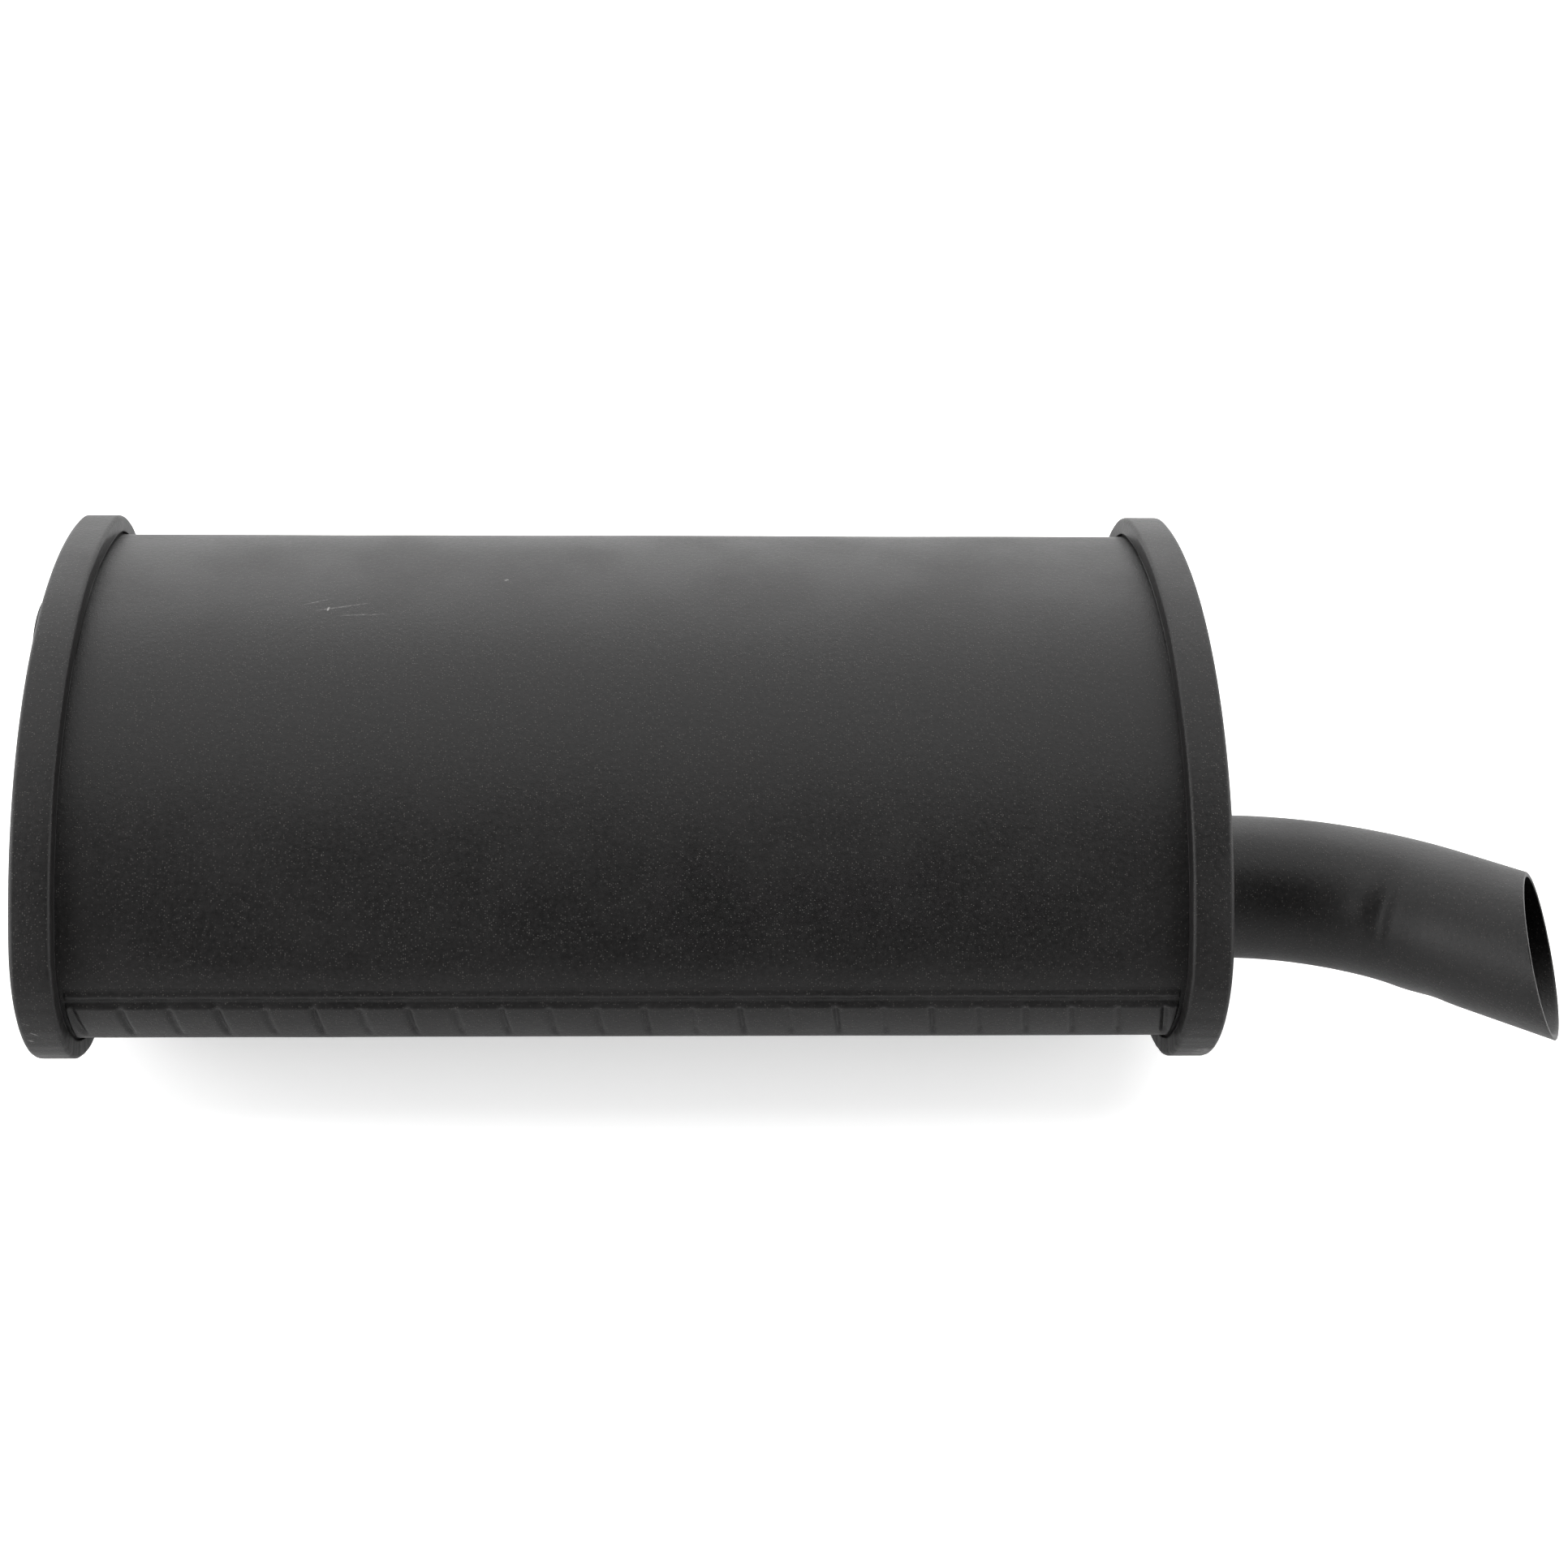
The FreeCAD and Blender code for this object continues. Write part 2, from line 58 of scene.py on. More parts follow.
def node_box(name):
    """Lowest and highest corners of a CAD node as arrays, in metres."""
    low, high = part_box(name)
    return np.array(low[:]), np.array(high[:])


CAP_LOW, CAP_HIGH = node_box("front_end_cap")
LINER_LOW, LINER_HIGH = node_box("inner_shell")
TAIL_BEAD_LOW, TAIL_BEAD_HIGH = node_box("tail_weld")
FLOOR_Z = float(CAP_LOW[2])
X_FRONT = float(CAP_LOW[0])                             # front rim's outer face
X_REAR = float(node_box("rear_end_cap")[1][0])          # rear rim's outer face
X_MIDDLE = (X_FRONT + X_REAR) / 2
BODY_Y = float(CAP_LOW[1] + CAP_HIGH[1]) / 2
TAIL_Y = float(TAIL_BEAD_LOW[1] + TAIL_BEAD_HIGH[1]) / 2
TAIL_START_X = float(node_box("tail_pipe")[0][0])       # pipe's inner end
SOCKET_RADIUS = float(node_box("inlet_socket")[1][2])   # the socket's axis lies on y = z = 0
INLET_COLLAR_X = float(node_box("inlet_weld")[1][0])    # where each cap's collar meets its bead
TAIL_COLLAR_X = float(TAIL_BEAD_LOW[0])
WRAP_SHEET = 1.2 * MM
HEM_BEND = 0.4 * MM                                     # inner bend radius of the tight folds in the rims


# ---- sizes and colours a user would change ----

def length(name, words, default):
    return bpy.props.FloatProperty(name=name, description=words, default=default, unit="LENGTH", precision=5)


def angle(name, words, degrees):
    return bpy.props.FloatProperty(name=name, description=words, default=math.radians(degrees),
                                   subtype="ANGLE")


def tint(name, words, colour):
    return bpy.props.FloatVectorProperty(name=name, description=words, default=colour, size=3,
                                         subtype="COLOR", min=0.0, max=1.0)


class SilencerBody(bpy.types.PropertyGroup):
    half_width: length("Half width", "Body's middle to the tight end, over the wrap",
                       float(LINER_HIGH[1] - LINER_LOW[1]) / 2 + WRAP_SHEET)
    half_height: length("Half height", "Body's middle to the flat side, over the wrap",
                        float(LINER_HIGH[2] - LINER_LOW[2]) / 2 + WRAP_SHEET)
    end_radius: length("End radius", "Radius of the oval's tight ends", 36.7 * MM)
    wrap_sheet: length("Wrap sheet", "Thickness of the outer wrap", WRAP_SHEET)
    undulation: length("Undulation", "Height of the slow waves that rolling leaves in the sheet", 0.10 * MM)


class SilencerRim(bpy.types.PropertyGroup):
    sheet: length("Cap sheet", "Thickness of the pressed caps", 1.5 * MM)
    proud: length("Proud", "Rim band over the body's surface", 7.3 * MM)
    band: length("Band", "Width of the crimped band", 14.0 * MM)
    outer_edge: length("Outer edge", "Radius of the band's edge at the rim's face", 1.9 * MM)
    inner_edge: length("Inner edge", "Radius of the band's edge over its turned-down lip", 1.7 * MM)
    lip_gap: length("Lip gap", "Body's surface to the lip's edge", 1.0 * MM)
    foot_bend: length("Foot bend", "Bend radius where the wrap turns up behind the lip", 1.0 * MM)
    recess: length("Recess", "Rim's face to the dished panel", 32.0 * MM)
    corner: length("Corner", "Bend radius of the panel into its wall", 5.5 * MM)
    island: length("Island inset", "Wall to the edge of the panel's raised island", 16.0 * MM)
    step: length("Island step", "Height of the raised island", 5.0 * MM)
    waviness: length("Waviness", "How far the crimping rolls leave the band uneven", 0.16 * MM)


class SilencerSeam(bpy.types.PropertyGroup):
    above: angle("Above", "Band's upper edge, above the tight end's middle line", 20.0)
    below: angle("Below", "Band's lower edge, below the middle line", 14.0)
    ridge: angle("Ridge", "Rolled edge above the band", 24.2)
    proud: length("Proud", "Folded band over the body's surface", 1.5 * MM)
    ridge_proud: length("Ridge proud", "Rolled edge over the body's surface", 0.75 * MM)
    pitch: length("Stake pitch", "Distance between stake marks", 15.8 * MM)
    depth: length("Stake depth", "Depth of a stake mark", 1.25 * MM)
    width: length("Stake width", "Half width of a stake mark", 1.10 * MM)
    slant: angle("Stake slant", "Lean of a stake mark along the seam", 8.5)
    end_gap: length("End gap", "Rim's face to the band's cut end", 15.1 * MM)


class SilencerTail(bpy.types.PropertyGroup):
    radius: length("Radius", "Outer radius of the tail pipe", 25.0 * MM)
    wall: length("Wall", "Pipe wall", 1.5 * MM)
    lead: length("Lead", "Straight stretch past the rim's face", 7.5 * MM)
    bend_radius: length("Bend radius", "Radius of the pipe's axis in the bend", 97.5 * MM)
    bend: angle("Bend", "How far the pipe turns", 44.6)
    tilt: angle("Tilt", "Bend plane, up from level", 34.4)
    reach: length("Reach", "Rim's face to where the axis meets the slash cut", 102.4 * MM)
    slash_yaw: angle("Slash yaw", "Direction the cut faces, sideways", -7.1)
    slash_pitch: angle("Slash pitch", "Direction the cut faces, upwards", 29.8)


class SilencerPaint(bpy.types.PropertyGroup):
    black: tint("Black", "Heat-resistant paint", (0.0054, 0.0051, 0.0051))
    grain: tint("Grain", "Pale grains in the paint", (0.105, 0.098, 0.090))
    # Pale colour of scuffed paint, also used for the painted highlight on the rear rim's lower edge.
    scuff_and_highlight: tint("Worn", "Rubbed and scratched paint", (0.22, 0.215, 0.21))
    roughness: bpy.props.FloatProperty(name="Roughness", description="Paint's roughness", default=0.47)
    gloss: bpy.props.FloatProperty(name="Gloss", description="Strength of the paint's mirror part", default=0.21)
    bare: tint("Bare", "Aluminised sheet inside", (0.42, 0.42, 0.43))


class SilencerStage(bpy.types.PropertyGroup):
    distance: length("Distance", "Camera to the body's middle, along the view", 820.6 * MM)
    rise: length("Rise", "Camera below the body's middle, across the view", -3.1 * MM)
    elevation: angle("Elevation", "Camera's height angle", 57.0)
    yaw: angle("Yaw", "Turn of the camera towards the tail pipe", 1.39)
    lens: bpy.props.FloatProperty(name="Lens", description="Focal length in mm on a 36 mm sensor",
                                  default=52.32)
    shift: bpy.props.FloatProperty(name="Shift", description="Sideways lens shift", default=0.066)
    floor: tint("Floor", "Plain floor", (0.90, 0.90, 0.90))
    floor_reach: length("Floor reach", "Middle of the floor to its edge", 3.0)
    fill: bpy.props.FloatProperty(name="Fill", description="Strength of the even light all round", default=0.12)


GROUPS = {"silencer_body": SilencerBody, "silencer_rim": SilencerRim, "silencer_seam": SilencerSeam,
          "silencer_tail": SilencerTail, "silencer_paint": SilencerPaint, "silencer_stage": SilencerStage}


# ---- surfaces ----

def grid_mesh(name, points, close_rows=False, close_columns=False, crease=40.0):
    """Mesh of a rows x columns x 3 array of points: each cell is a quad, and a closed way joins last to first.

    Faces point along the cross product of the column and row directions.
    """
    rows, columns = points.shape[:2]
    row = np.arange(rows if close_rows else rows - 1)
    column = np.arange(columns if close_columns else columns - 1)
    r, c = np.meshgrid(row, column, indexing="ij")
    r2, c2 = (r + 1) % rows, (c + 1) % columns
    quads = np.stack([r * columns + c, r * columns + c2, r2 * columns + c2, r2 * columns + c], axis=-1)
    quads = quads.reshape(-1, 4).astype(np.int32)
    mesh = bpy.data.meshes.new(name)
    mesh.vertices.add(rows * columns)
    mesh.vertices.foreach_set("co", points.reshape(-1).astype(np.float32))
    mesh.loops.add(quads.size)
    mesh.loops.foreach_set("vertex_index", quads.reshape(-1))
    mesh.polygons.add(len(quads))
    mesh.polygons.foreach_set("loop_start", np.arange(0, quads.size, 4, dtype=np.int32))
    mesh.polygons.foreach_set("loop_total", np.full(len(quads), 4, dtype=np.int32))
    mesh.update(calc_edges=True)
    mesh.validate()
    mesh.polygons.foreach_set("use_smooth", np.ones(len(quads), dtype=bool))
    mesh.set_sharp_from_angle(angle=math.radians(crease))
    return mesh


def outward(mesh):
    """Turns a closed mesh so that its volume is positive: the sum of its faces' tetrahedra from the origin."""
    mesh.calc_loop_triangles()
    corners = np.empty(len(mesh.vertices) * 3, dtype=np.float32)
    mesh.vertices.foreach_get("co", corners)
    corners = corners.reshape(-1, 3).astype(float)
    corners -= corners.mean(axis=0)
    triangles = np.empty(len(mesh.loop_triangles) * 3, dtype=np.int32)
    mesh.loop_triangles.foreach_get("vertices", triangles)
    a, b, c = (corners[triangles.reshape(-1, 3)[:, i]] for i in range(3))
    if np.einsum("ij,ij->i", a, np.cross(b, c)).sum() < 0:
        mesh.flip_normals()
    return mesh


def place(name, mesh, material, slot, *stands_for):
    """Adds a piece on the body, with its finish, standing for the CAD nodes named."""
    piece = bpy.data.objects.new(name, outward(mesh))
    bpy.context.scene.collection.objects.link(piece)
    mesh.materials.append(material)
    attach(piece, BODY)
    if stands_for:
        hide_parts(*stands_for)
    return piece


def smooth(t):
    """Smoothstep: 3t^2 - 2t^3 of t held between 0 and 1."""
    t = np.clip(t, 0.0, 1.0)
    return t * t * (3.0 - 2.0 * t)


def oval(body):
    """Points round the body's surface: four tangent arcs, y = heart + radius cos a, z = heart + radius sin a.

    Returns rows of y, z and the outward normal's y and z.
    """
    tight = body.end_radius
    reach = body.half_width - tight
    rise = body.half_height - tight
    drop = (reach ** 2 - rise ** 2) / (2 * rise)
    flat = body.half_height + drop
    join = math.atan2(drop, reach)
    # Each arc: its heart's y and z, radius, start and end angle, number of points.
    arcs = ((reach, 0.0, tight, -join, join, 64),
            (0.0, -drop, flat, join, math.pi - join, 84),
            (-reach, 0.0, tight, math.pi - join, math.pi + join, 190),
            (0.0, drop, flat, math.pi + join, 2 * math.pi - join, 84))
    columns = []
    for y, z, radius, start, end, count in arcs:
        a = start + (end - start) * np.arange(count) / count
        columns.append(np.stack([y + radius * np.cos(a), z + radius * np.sin(a), np.cos(a), np.sin(a)], axis=-1))
    ring = np.concatenate(columns)
    ring[:, 0] += BODY_Y
    return ring.T


def bent(points, steps=7):
    """Profile through (x, n, radius) corners, each rounded by an arc tangent to both its sides."""
    corners = np.array(points, dtype=float)
    runs = [corners[:1, :2]]
    for before, here, after in zip(corners, corners[1:], corners[2:]):
        back = before[:2] - here[:2]
        ahead = after[:2] - here[:2]
        back /= np.linalg.norm(back)
        ahead /= np.linalg.norm(ahead)
        half = math.acos(np.clip(back @ ahead, -1, 1)) / 2
        radius = here[2]
        if radius <= 0 or half > 1.55:
            runs.append(here[None, :2])
            continue
        bisector = (back + ahead) / np.linalg.norm(back + ahead)
        heart = here[:2] + bisector * radius / math.sin(half)
        first = here[:2] + back * radius / math.tan(half) - heart
        last = here[:2] + ahead * radius / math.tan(half) - heart
        sweep = math.pi - 2 * half
        t = np.linspace(0, 1, steps)[:, None]
        arc = (np.sin((1 - t) * sweep) * first + np.sin(t * sweep) * last) / math.sin(sweep)
        runs.append(heart + arc)
    runs.append(corners[-1:, :2])
    return np.concatenate(runs)


def divided(profile, longest):
    """The same profile with extra points, so that no step is longer than given."""
    steps = np.maximum(1, np.ceil(np.linalg.norm(np.diff(profile, axis=0), axis=1) / longest)).astype(int)
    marks = np.concatenate([i + np.arange(n) / n for i, n in enumerate(steps)] + [[len(steps)]])
    index = np.arange(len(profile))
    return np.stack([np.interp(marks, index, profile[:, k]) for k in range(2)], axis=-1)


def round_the_oval(x, n, ring):
    """Point at (x, surface + n times outward normal)."""
    y, z, ny, nz = ring
    return np.stack([np.broadcast_to(x, n.shape), y + ny * n, z + nz * n], axis=-1)


def slow_waves(x, ring, amount):
    """Sum of three long sine waves along and round the body, divided by the sum of their heights."""
    y, z = ring[0][None, :], ring[1][None, :]
    x = x if x.ndim == 2 else x[:, None]
    waves = np.sin(31.0 * x + 21.0 * y) + 0.7 * np.sin(57.0 * x - 43.0 * z + 1.1)
    waves += 0.5 * np.sin(94.0 * x + 66.0 * (y + z) + 2.3)
    return amount * waves / 2.2


# ---- wrap ----

def wrap_face(body, rim, depth):
    """Half profile of the wrap's face that lies depth under its surface, from its edge in the rim to the middle."""
    top = rim.proud - rim.sheet - depth
    turn = rim.band - rim.sheet - body.wrap_sheet + (0 if depth else body.wrap_sheet)
    half = (X_REAR - X_FRONT) / 2
    fold, foot = HEM_BEND + body.wrap_sheet, rim.foot_bend
    if depth:
        fold, foot = HEM_BEND, rim.foot_bend + body.wrap_sheet
    edge = rim.sheet + HEM_BEND
    corners = [(edge, top, 0), (turn, top, fold), (turn, -depth, foot), (half, -depth, 0)]
    return divided(bent(corners), 9 * MM)


def wrap_mesh(body, rim):
    """Wrap carried round the oval: outer face end to end, then back along the inner face."""
    ring = oval(body)
    rows_x, rows_n = [], []
    for depth, step in ((0.0, 1), (body.wrap_sheet, -1)):
        half = wrap_face(body, rim, depth)
        x = np.concatenate([X_FRONT + half[:, 0], (X_REAR - half[:, 0])[-2::-1]])
        n = np.concatenate([half[:, 1], half[-2::-1, 1]])[:, None]
        n = n + slow_waves(x, ring, body.undulation) * inside(x, rim)[:, None]
        rows_x.append(x[::step])
        rows_n.append(n[::step])
    x = np.concatenate(rows_x)
    return grid_mesh("body_wrap", round_the_oval(x[:, None], np.concatenate(rows_n), ring),
                     close_rows=True, close_columns=True)


def inside(x, rim):
    """1 along the body, easing to 0 at each rim."""
    margin = 0.03
    return smooth((x - X_FRONT - rim.band) / margin) * smooth((X_REAR - rim.band - x) / margin)


# ---- lock seam ----

def stake_marks(x, across, seam, span):
    """Depth of the slanting grooves: a bell of the distance to each mark's line, fading before the lower edge.

    across runs from 0 at the band's upper edge to its span at the lower edge.
    """
    count = int((X_REAR - X_FRONT - 2 * seam.end_gap) / seam.pitch) + 1
    first = X_MIDDLE - (count - 1) * seam.pitch / 2
    lean = math.tan(seam.slant) * (across - span / 2)
    place_in = (x - lean - first) / seam.pitch
    nearest = np.clip(np.round(place_in), 0, count - 1)
    jitter = 0.035 * np.sin(12.9898 * nearest)              # steps this long make each mark differ from the next
    strength = 0.80 + 0.20 * np.sin(78.233 * nearest)
    away = (place_in - nearest - jitter) * seam.pitch * math.cos(seam.slant)
    t = across / span
    reach = smooth(t / 0.16) * smooth((0.84 - t) / 0.24)
    groove = np.exp(-(away / seam.width) ** 2)
    return seam.depth * strength * reach * groove


def seam_profile(body, seam, angle_down):
    """Height of the seam over the wrap by angle: a rolled edge, a crease, then the folded band with a lower lip."""
    radius = body.end_radius
    ridge_width, upper_edge, lower_edge = 1.25 * MM, 1.9 * MM, 1.1 * MM
    lip_fall, lip_from, lip_ease = 0.30 * MM, 3.4 * MM, 1.6 * MM
    from_ridge = (angle_down + seam.ridge) * radius
    ridge = seam.ridge_proud * np.exp(-(from_ridge / ridge_width) ** 2)
    into_band = (angle_down + seam.above) * radius
    before_edge = (seam.below - angle_down) * radius
    band = seam.proud * smooth(into_band / upper_edge) ** 0.8 * smooth(before_edge / lower_edge) ** 0.6
    fall = lip_fall * smooth((lip_from - before_edge) / lip_ease)
    return ridge + np.where(into_band > 0, band - fall * (before_edge > 0), 0.0)


def seam_mesh(body, seam):
    """Strip on the tight end: top at the seam's height less its stake marks, underside buried in the wrap."""
    radius = body.end_radius
    buried = -0.45 * MM
    outer_edge = seam.ridge + 0.085             # radians past the rolled edge's crest
    angles = np.concatenate([np.linspace(-outer_edge, -seam.above, 18, endpoint=False),
                             np.linspace(-seam.above, seam.below, 46)])
    x = np.linspace(X_FRONT + seam.end_gap, X_REAR - seam.end_gap, 1150)
    grid_x, grid_a = np.meshgrid(x, angles, indexing="ij")
    across = (grid_a + seam.above) * radius
    width = (seam.above + seam.below) * radius
    marks = np.where(across > 0, stake_marks(grid_x, np.maximum(across, 0.0), seam, width), 0.0)
    wobble = 0.12 * MM * np.sin(grid_x * 2 * math.pi / seam.pitch + 0.7)
    wobble = wobble * np.exp(-(across / (2 * MM)) ** 2)
    height = seam_profile(body, seam, grid_a) - marks + wobble
    height = np.maximum(height, np.where(across > 0, 0.05 * MM, -0.04 * MM))
    height[:, 0] = -0.1 * MM
    ends = smooth(np.minimum(x - x[0], x[-1] - x) / (0.5 * MM))[:, None]
    height = np.where(height > 0, height * (0.55 + 0.45 * ends), height)
    reach = body.half_width - radius

    def at(offset):
        turned = math.pi + grid_a
        y = BODY_Y - reach + (radius + offset) * np.cos(turned)
        return np.stack([grid_x, y, (radius + offset) * np.sin(turned)], axis=-1)

    top = at(height)
    back = np.linspace(len(angles) - 1, 0, 9).round().astype(int)
    under = at(np.full_like(height, buried))[:, back]
    loop = np.concatenate([top, under], axis=1)
    first, last = (np.broadcast_to(loop[i, -5], loop[i].shape)[None] for i in (0, -1))
    return grid_mesh("lock_seam", np.concatenate([first, loop, last]), close_columns=True, crease=50.0)


# ---- caps ----

def crimp_waves(ring, seed, amount):
    """Uneven band the crimping rolls leave: four sine waves over the sum of their heights, less 1, so all inwards."""
    count = ring.shape[1]
    turn = np.arange(count) / count * 2 * math.pi
    waves = np.sin(5 * turn + seed) + 0.8 * np.sin(11 * turn + 2.1 * seed)
    waves += 0.5 * np.sin(23 * turn + 3.7 * seed) + 0.3 * np.sin(41 * turn + 5.3 * seed)
    return amount * (waves / 2.6 - 1.0)


def cap_mesh(name, body, rim, pipe_y, pipe_radius, collar_x, mirrored):
    """Pressed cap as one closed sheet: the face against the wrap out to the lip, then back along the open face.

    Rings near the pipe are circles; the others are the oval at an inset; the panel between is a straight blend.
    """
    ring = oval(body)
    wave = crimp_waves(ring, 4.0 if mirrored else 1.7, rim.waviness)
    inset = -body.wrap_sheet
    top = rim.proud - rim.sheet
    island = inset - rim.island
    step = rim.step
    t = rim.sheet
    panel = rim.recess + t
    turn = rim.band - t - body.wrap_sheet
    lip = rim.band - t
    wrap_side = [(panel - step, island - 3 * MM, 0), (panel - step, island, t), (panel, island + step, t),
                 (panel, inset, rim.corner), (turn, inset, rim.foot_bend + body.wrap_sheet),
                 (turn, top - body.wrap_sheet, HEM_BEND), (t, top - body.wrap_sheet, HEM_BEND),
                 (t, top, HEM_BEND), (lip, top, HEM_BEND), (lip, rim.lip_gap, 0.3 * MM)]
    open_side = [(rim.band, rim.lip_gap, 0.5 * MM), (rim.band, rim.proud, rim.inner_edge),
                 (0, rim.proud, rim.outer_edge), (0, top - body.wrap_sheet - t, rim.outer_edge),
                 (turn - t, top - body.wrap_sheet - t, 0.5 * MM),
                 (turn - t, inset - t, rim.foot_bend + body.wrap_sheet + t),
                 (panel - t, inset - t, rim.corner - t), (panel - t, island + step + 0.4 * MM, 2 * t),
                 (panel - step - t, island + 0.4 * MM, 1.0 * MM), (panel - step - t, island - 3 * MM, 0)]
    around = bent(wrap_side + open_side, 8)
    split = int(np.argmin(np.hypot(around[:, 0] - rim.band, around[:, 1] - rim.lip_gap)))
    hidden = divided(around[:split], 4 * MM)
    seen = divided(around[split:], 4 * MM)
    hidden_n = np.repeat(hidden[:, 1][:, None], ring.shape[1], axis=1)
    seen_n = np.repeat(seen[:, 1][:, None], ring.shape[1], axis=1)
    seen_x = np.repeat(seen[:, 0][:, None], ring.shape[1], axis=1)
    outermost = smooth((seen[:, 1] - top) / t) * (seen[:, 0] < rim.band + MM)
    seen_n += wave[None, :] * outermost[:, None]
    flank = smooth((seen[:, 0] - lip) / t) * (seen[:, 1] > 0)
    seen_x += 1.3 * wave[None, :] * flank[:, None]
    collar_depth = abs(collar_x - (X_REAR if mirrored else X_FRONT))
    aim = np.arctan2(ring[1], ring[0] - pipe_y)

    def circle(x, radius):
        return np.stack([np.full(len(aim), x), pipe_y + radius * np.cos(aim), radius * np.sin(aim)], axis=-1)

    def blend(oval_ring, circle_ring, shares):
        shares = np.array(shares)[:, None, None]
        return oval_ring[None] * (1 - shares) + circle_ring[None] * shares

    def real_x(x):
        return X_REAR - x if mirrored else X_FRONT + x

    front = round_the_oval(real_x(hidden[:, 0])[:, None], hidden_n, ring)
    back = round_the_oval(real_x(seen_x), seen_n, ring)
    spread = np.linspace(0.12, 0.92, 8)
    chamber = real_x(panel - step)
    outer = real_x(panel - step - t)
    tip = real_x(collar_depth)
    collar_in = [circle(chamber, pipe_radius + 2.4 * MM), circle(real_x(panel - step - 0.8 * MM), pipe_radius)]
    collar_out = [circle(tip, pipe_radius), circle(tip, pipe_radius + 0.9 * t),
                  circle(real_x(collar_depth + 0.4 * MM), pipe_radius + t),
                  circle(real_x(panel - step - t - 2.2 * MM), pipe_radius + t),
                  circle(real_x(panel - step - t - 0.7 * MM), pipe_radius + t + 0.7 * MM),
                  circle(outer, pipe_radius + t + 2.2 * MM)]
    to_panel = blend(back[-1], collar_out[-1], spread)
    from_panel = blend(front[0], collar_in[0], spread[::-1])
    points = np.concatenate([front, back, to_panel, np.stack(collar_out[::-1]), np.stack(collar_in[::-1]),
                             from_panel])
    return grid_mesh(name, points, close_rows=True, close_columns=True, crease=42.0)


# ---- tail pipe ----

def tail_rows(tail, radius, start_x):
    """Rings of one face of the pipe, and the leg's direction: straight, bend, then a leg that ends on the cut.

    A ring is centre + radius (cos p sideways' + sin p across), where sideways' turns with the bend.
    """
    p = np.linspace(0, 2 * math.pi, 144, endpoint=False)
    sideways = np.array([0.0, -math.cos(tail.tilt), math.sin(tail.tilt)])
    ahead = np.array([1.0, 0.0, 0.0])
    across = np.cross(ahead, sideways)
    start = np.array([X_REAR + tail.lead, TAIL_Y, 0.0])
    facing = np.array([math.cos(tail.slash_pitch) * math.cos(tail.slash_yaw),
                       math.cos(tail.slash_pitch) * math.sin(tail.slash_yaw), math.sin(tail.slash_pitch)])
    turns = np.linspace(0, tail.bend, 44)
    straight = np.linspace(start_x, start[0], 12, endpoint=False)
    centres = [np.array([x, TAIL_Y, 0.0]) for x in straight]
    outs = [sideways] * len(straight)
    runs = list(straight - start[0])
    for turn in turns:
        centres.append(start + tail.bend_radius * (math.sin(turn) * ahead + (1 - math.cos(turn)) * sideways))
        outs.append(math.cos(turn) * sideways - math.sin(turn) * ahead)
        runs.append(turn * tail.bend_radius)
    direction = math.cos(tail.bend) * ahead + math.sin(tail.bend) * sideways
    cut_x = X_REAR + tail.reach
    leg = (cut_x - centres[-1][0]) / direction[0]
    cut_point = centres[-1] + direction * leg
    centres, outs, runs = np.array(centres), np.array(outs), np.array(runs)
    around = np.cos(p)[None, :, None] * outs[:, None, :] + np.sin(p)[None, :, None] * across
    shape = pipe_shape(p[None, :], runs[:, None])
    rings = centres[:, None, :] + (radius + shape)[:, :, None] * around
    end = centres[-1] + radius * around[-1]
    to_cut = ((cut_point - end) @ facing) / (direction @ facing)
    along = np.linspace(0, 1, 40)[1:, None] * to_cut[None, :]
    swollen = radius + pipe_shape(p[None, :], runs[-1] + along)
    leg_rings = centres[-1] + along[..., None] * direction + swollen[..., None] * around[-1]
    return np.concatenate([rings, leg_rings]), direction


# What press bending leaves on the pipe: height, distance along the axis from the bend's start and spread along it,
# all in mm, then angle round the pipe and spread round it in radians.
PRESS_MARKS = (
    (0.60, 54.0, 4.5, -0.36, 0.36),         # knuckle
    (-0.95, 64.0, 3.8, -0.34, 0.50),        # dimple before the leg
    (0.45, 72.0, 6.0, -0.10, 0.60),         # swell past the dimple
    (-0.35, 84.0, 5.0, 1.15, 0.50),         # kink under the leg
    (0.35, 72.0, 7.0, 1.15, 0.50),
    (-0.35, 38.0, 30.0, math.pi, 0.80),     # flat along the outside of the bend
)


def pipe_shape(p, run):
    """Sum over the press marks of height times a bell along the pipe times a bell round it."""
    total = 0.0
    for height, at, length_spread, turn, turn_spread in PRESS_MARKS:
        along = np.exp(-((run - at * MM) / (length_spread * MM)) ** 2)
        total = total + height * along * np.exp(-(np.angle(np.exp(1j * (p - turn))) / turn_spread) ** 2)
    return total * MM


def tail_mesh(tail, start_x):
    """Outer face, rounded slash lip and inner face of the pipe, closed across its inner end."""
    outer, direction = tail_rows(tail, tail.radius, start_x)
    inner, _ = tail_rows(tail, tail.radius - tail.wall, start_x)
    near, far = 0.82, 0.18                      # shares of the wall left flat between the eased edges
    lip_out = outer[-1] * near + inner[-1] * far
    lip_in = outer[-1] * far + inner[-1] * near
    ease = 0.28 * MM
    outer[-1] -= direction * ease
    inner[-1] -= direction * ease
    outer = np.concatenate([outer[:-1], (outer[-1] - direction * ease)[None], outer[-1:]])
    points = np.concatenate([outer, lip_out[None], lip_in[None], inner[::-1]])
    return grid_mesh("tail_pipe_outer", points, close_rows=True, close_columns=True, crease=55.0)


# ---- welds ----

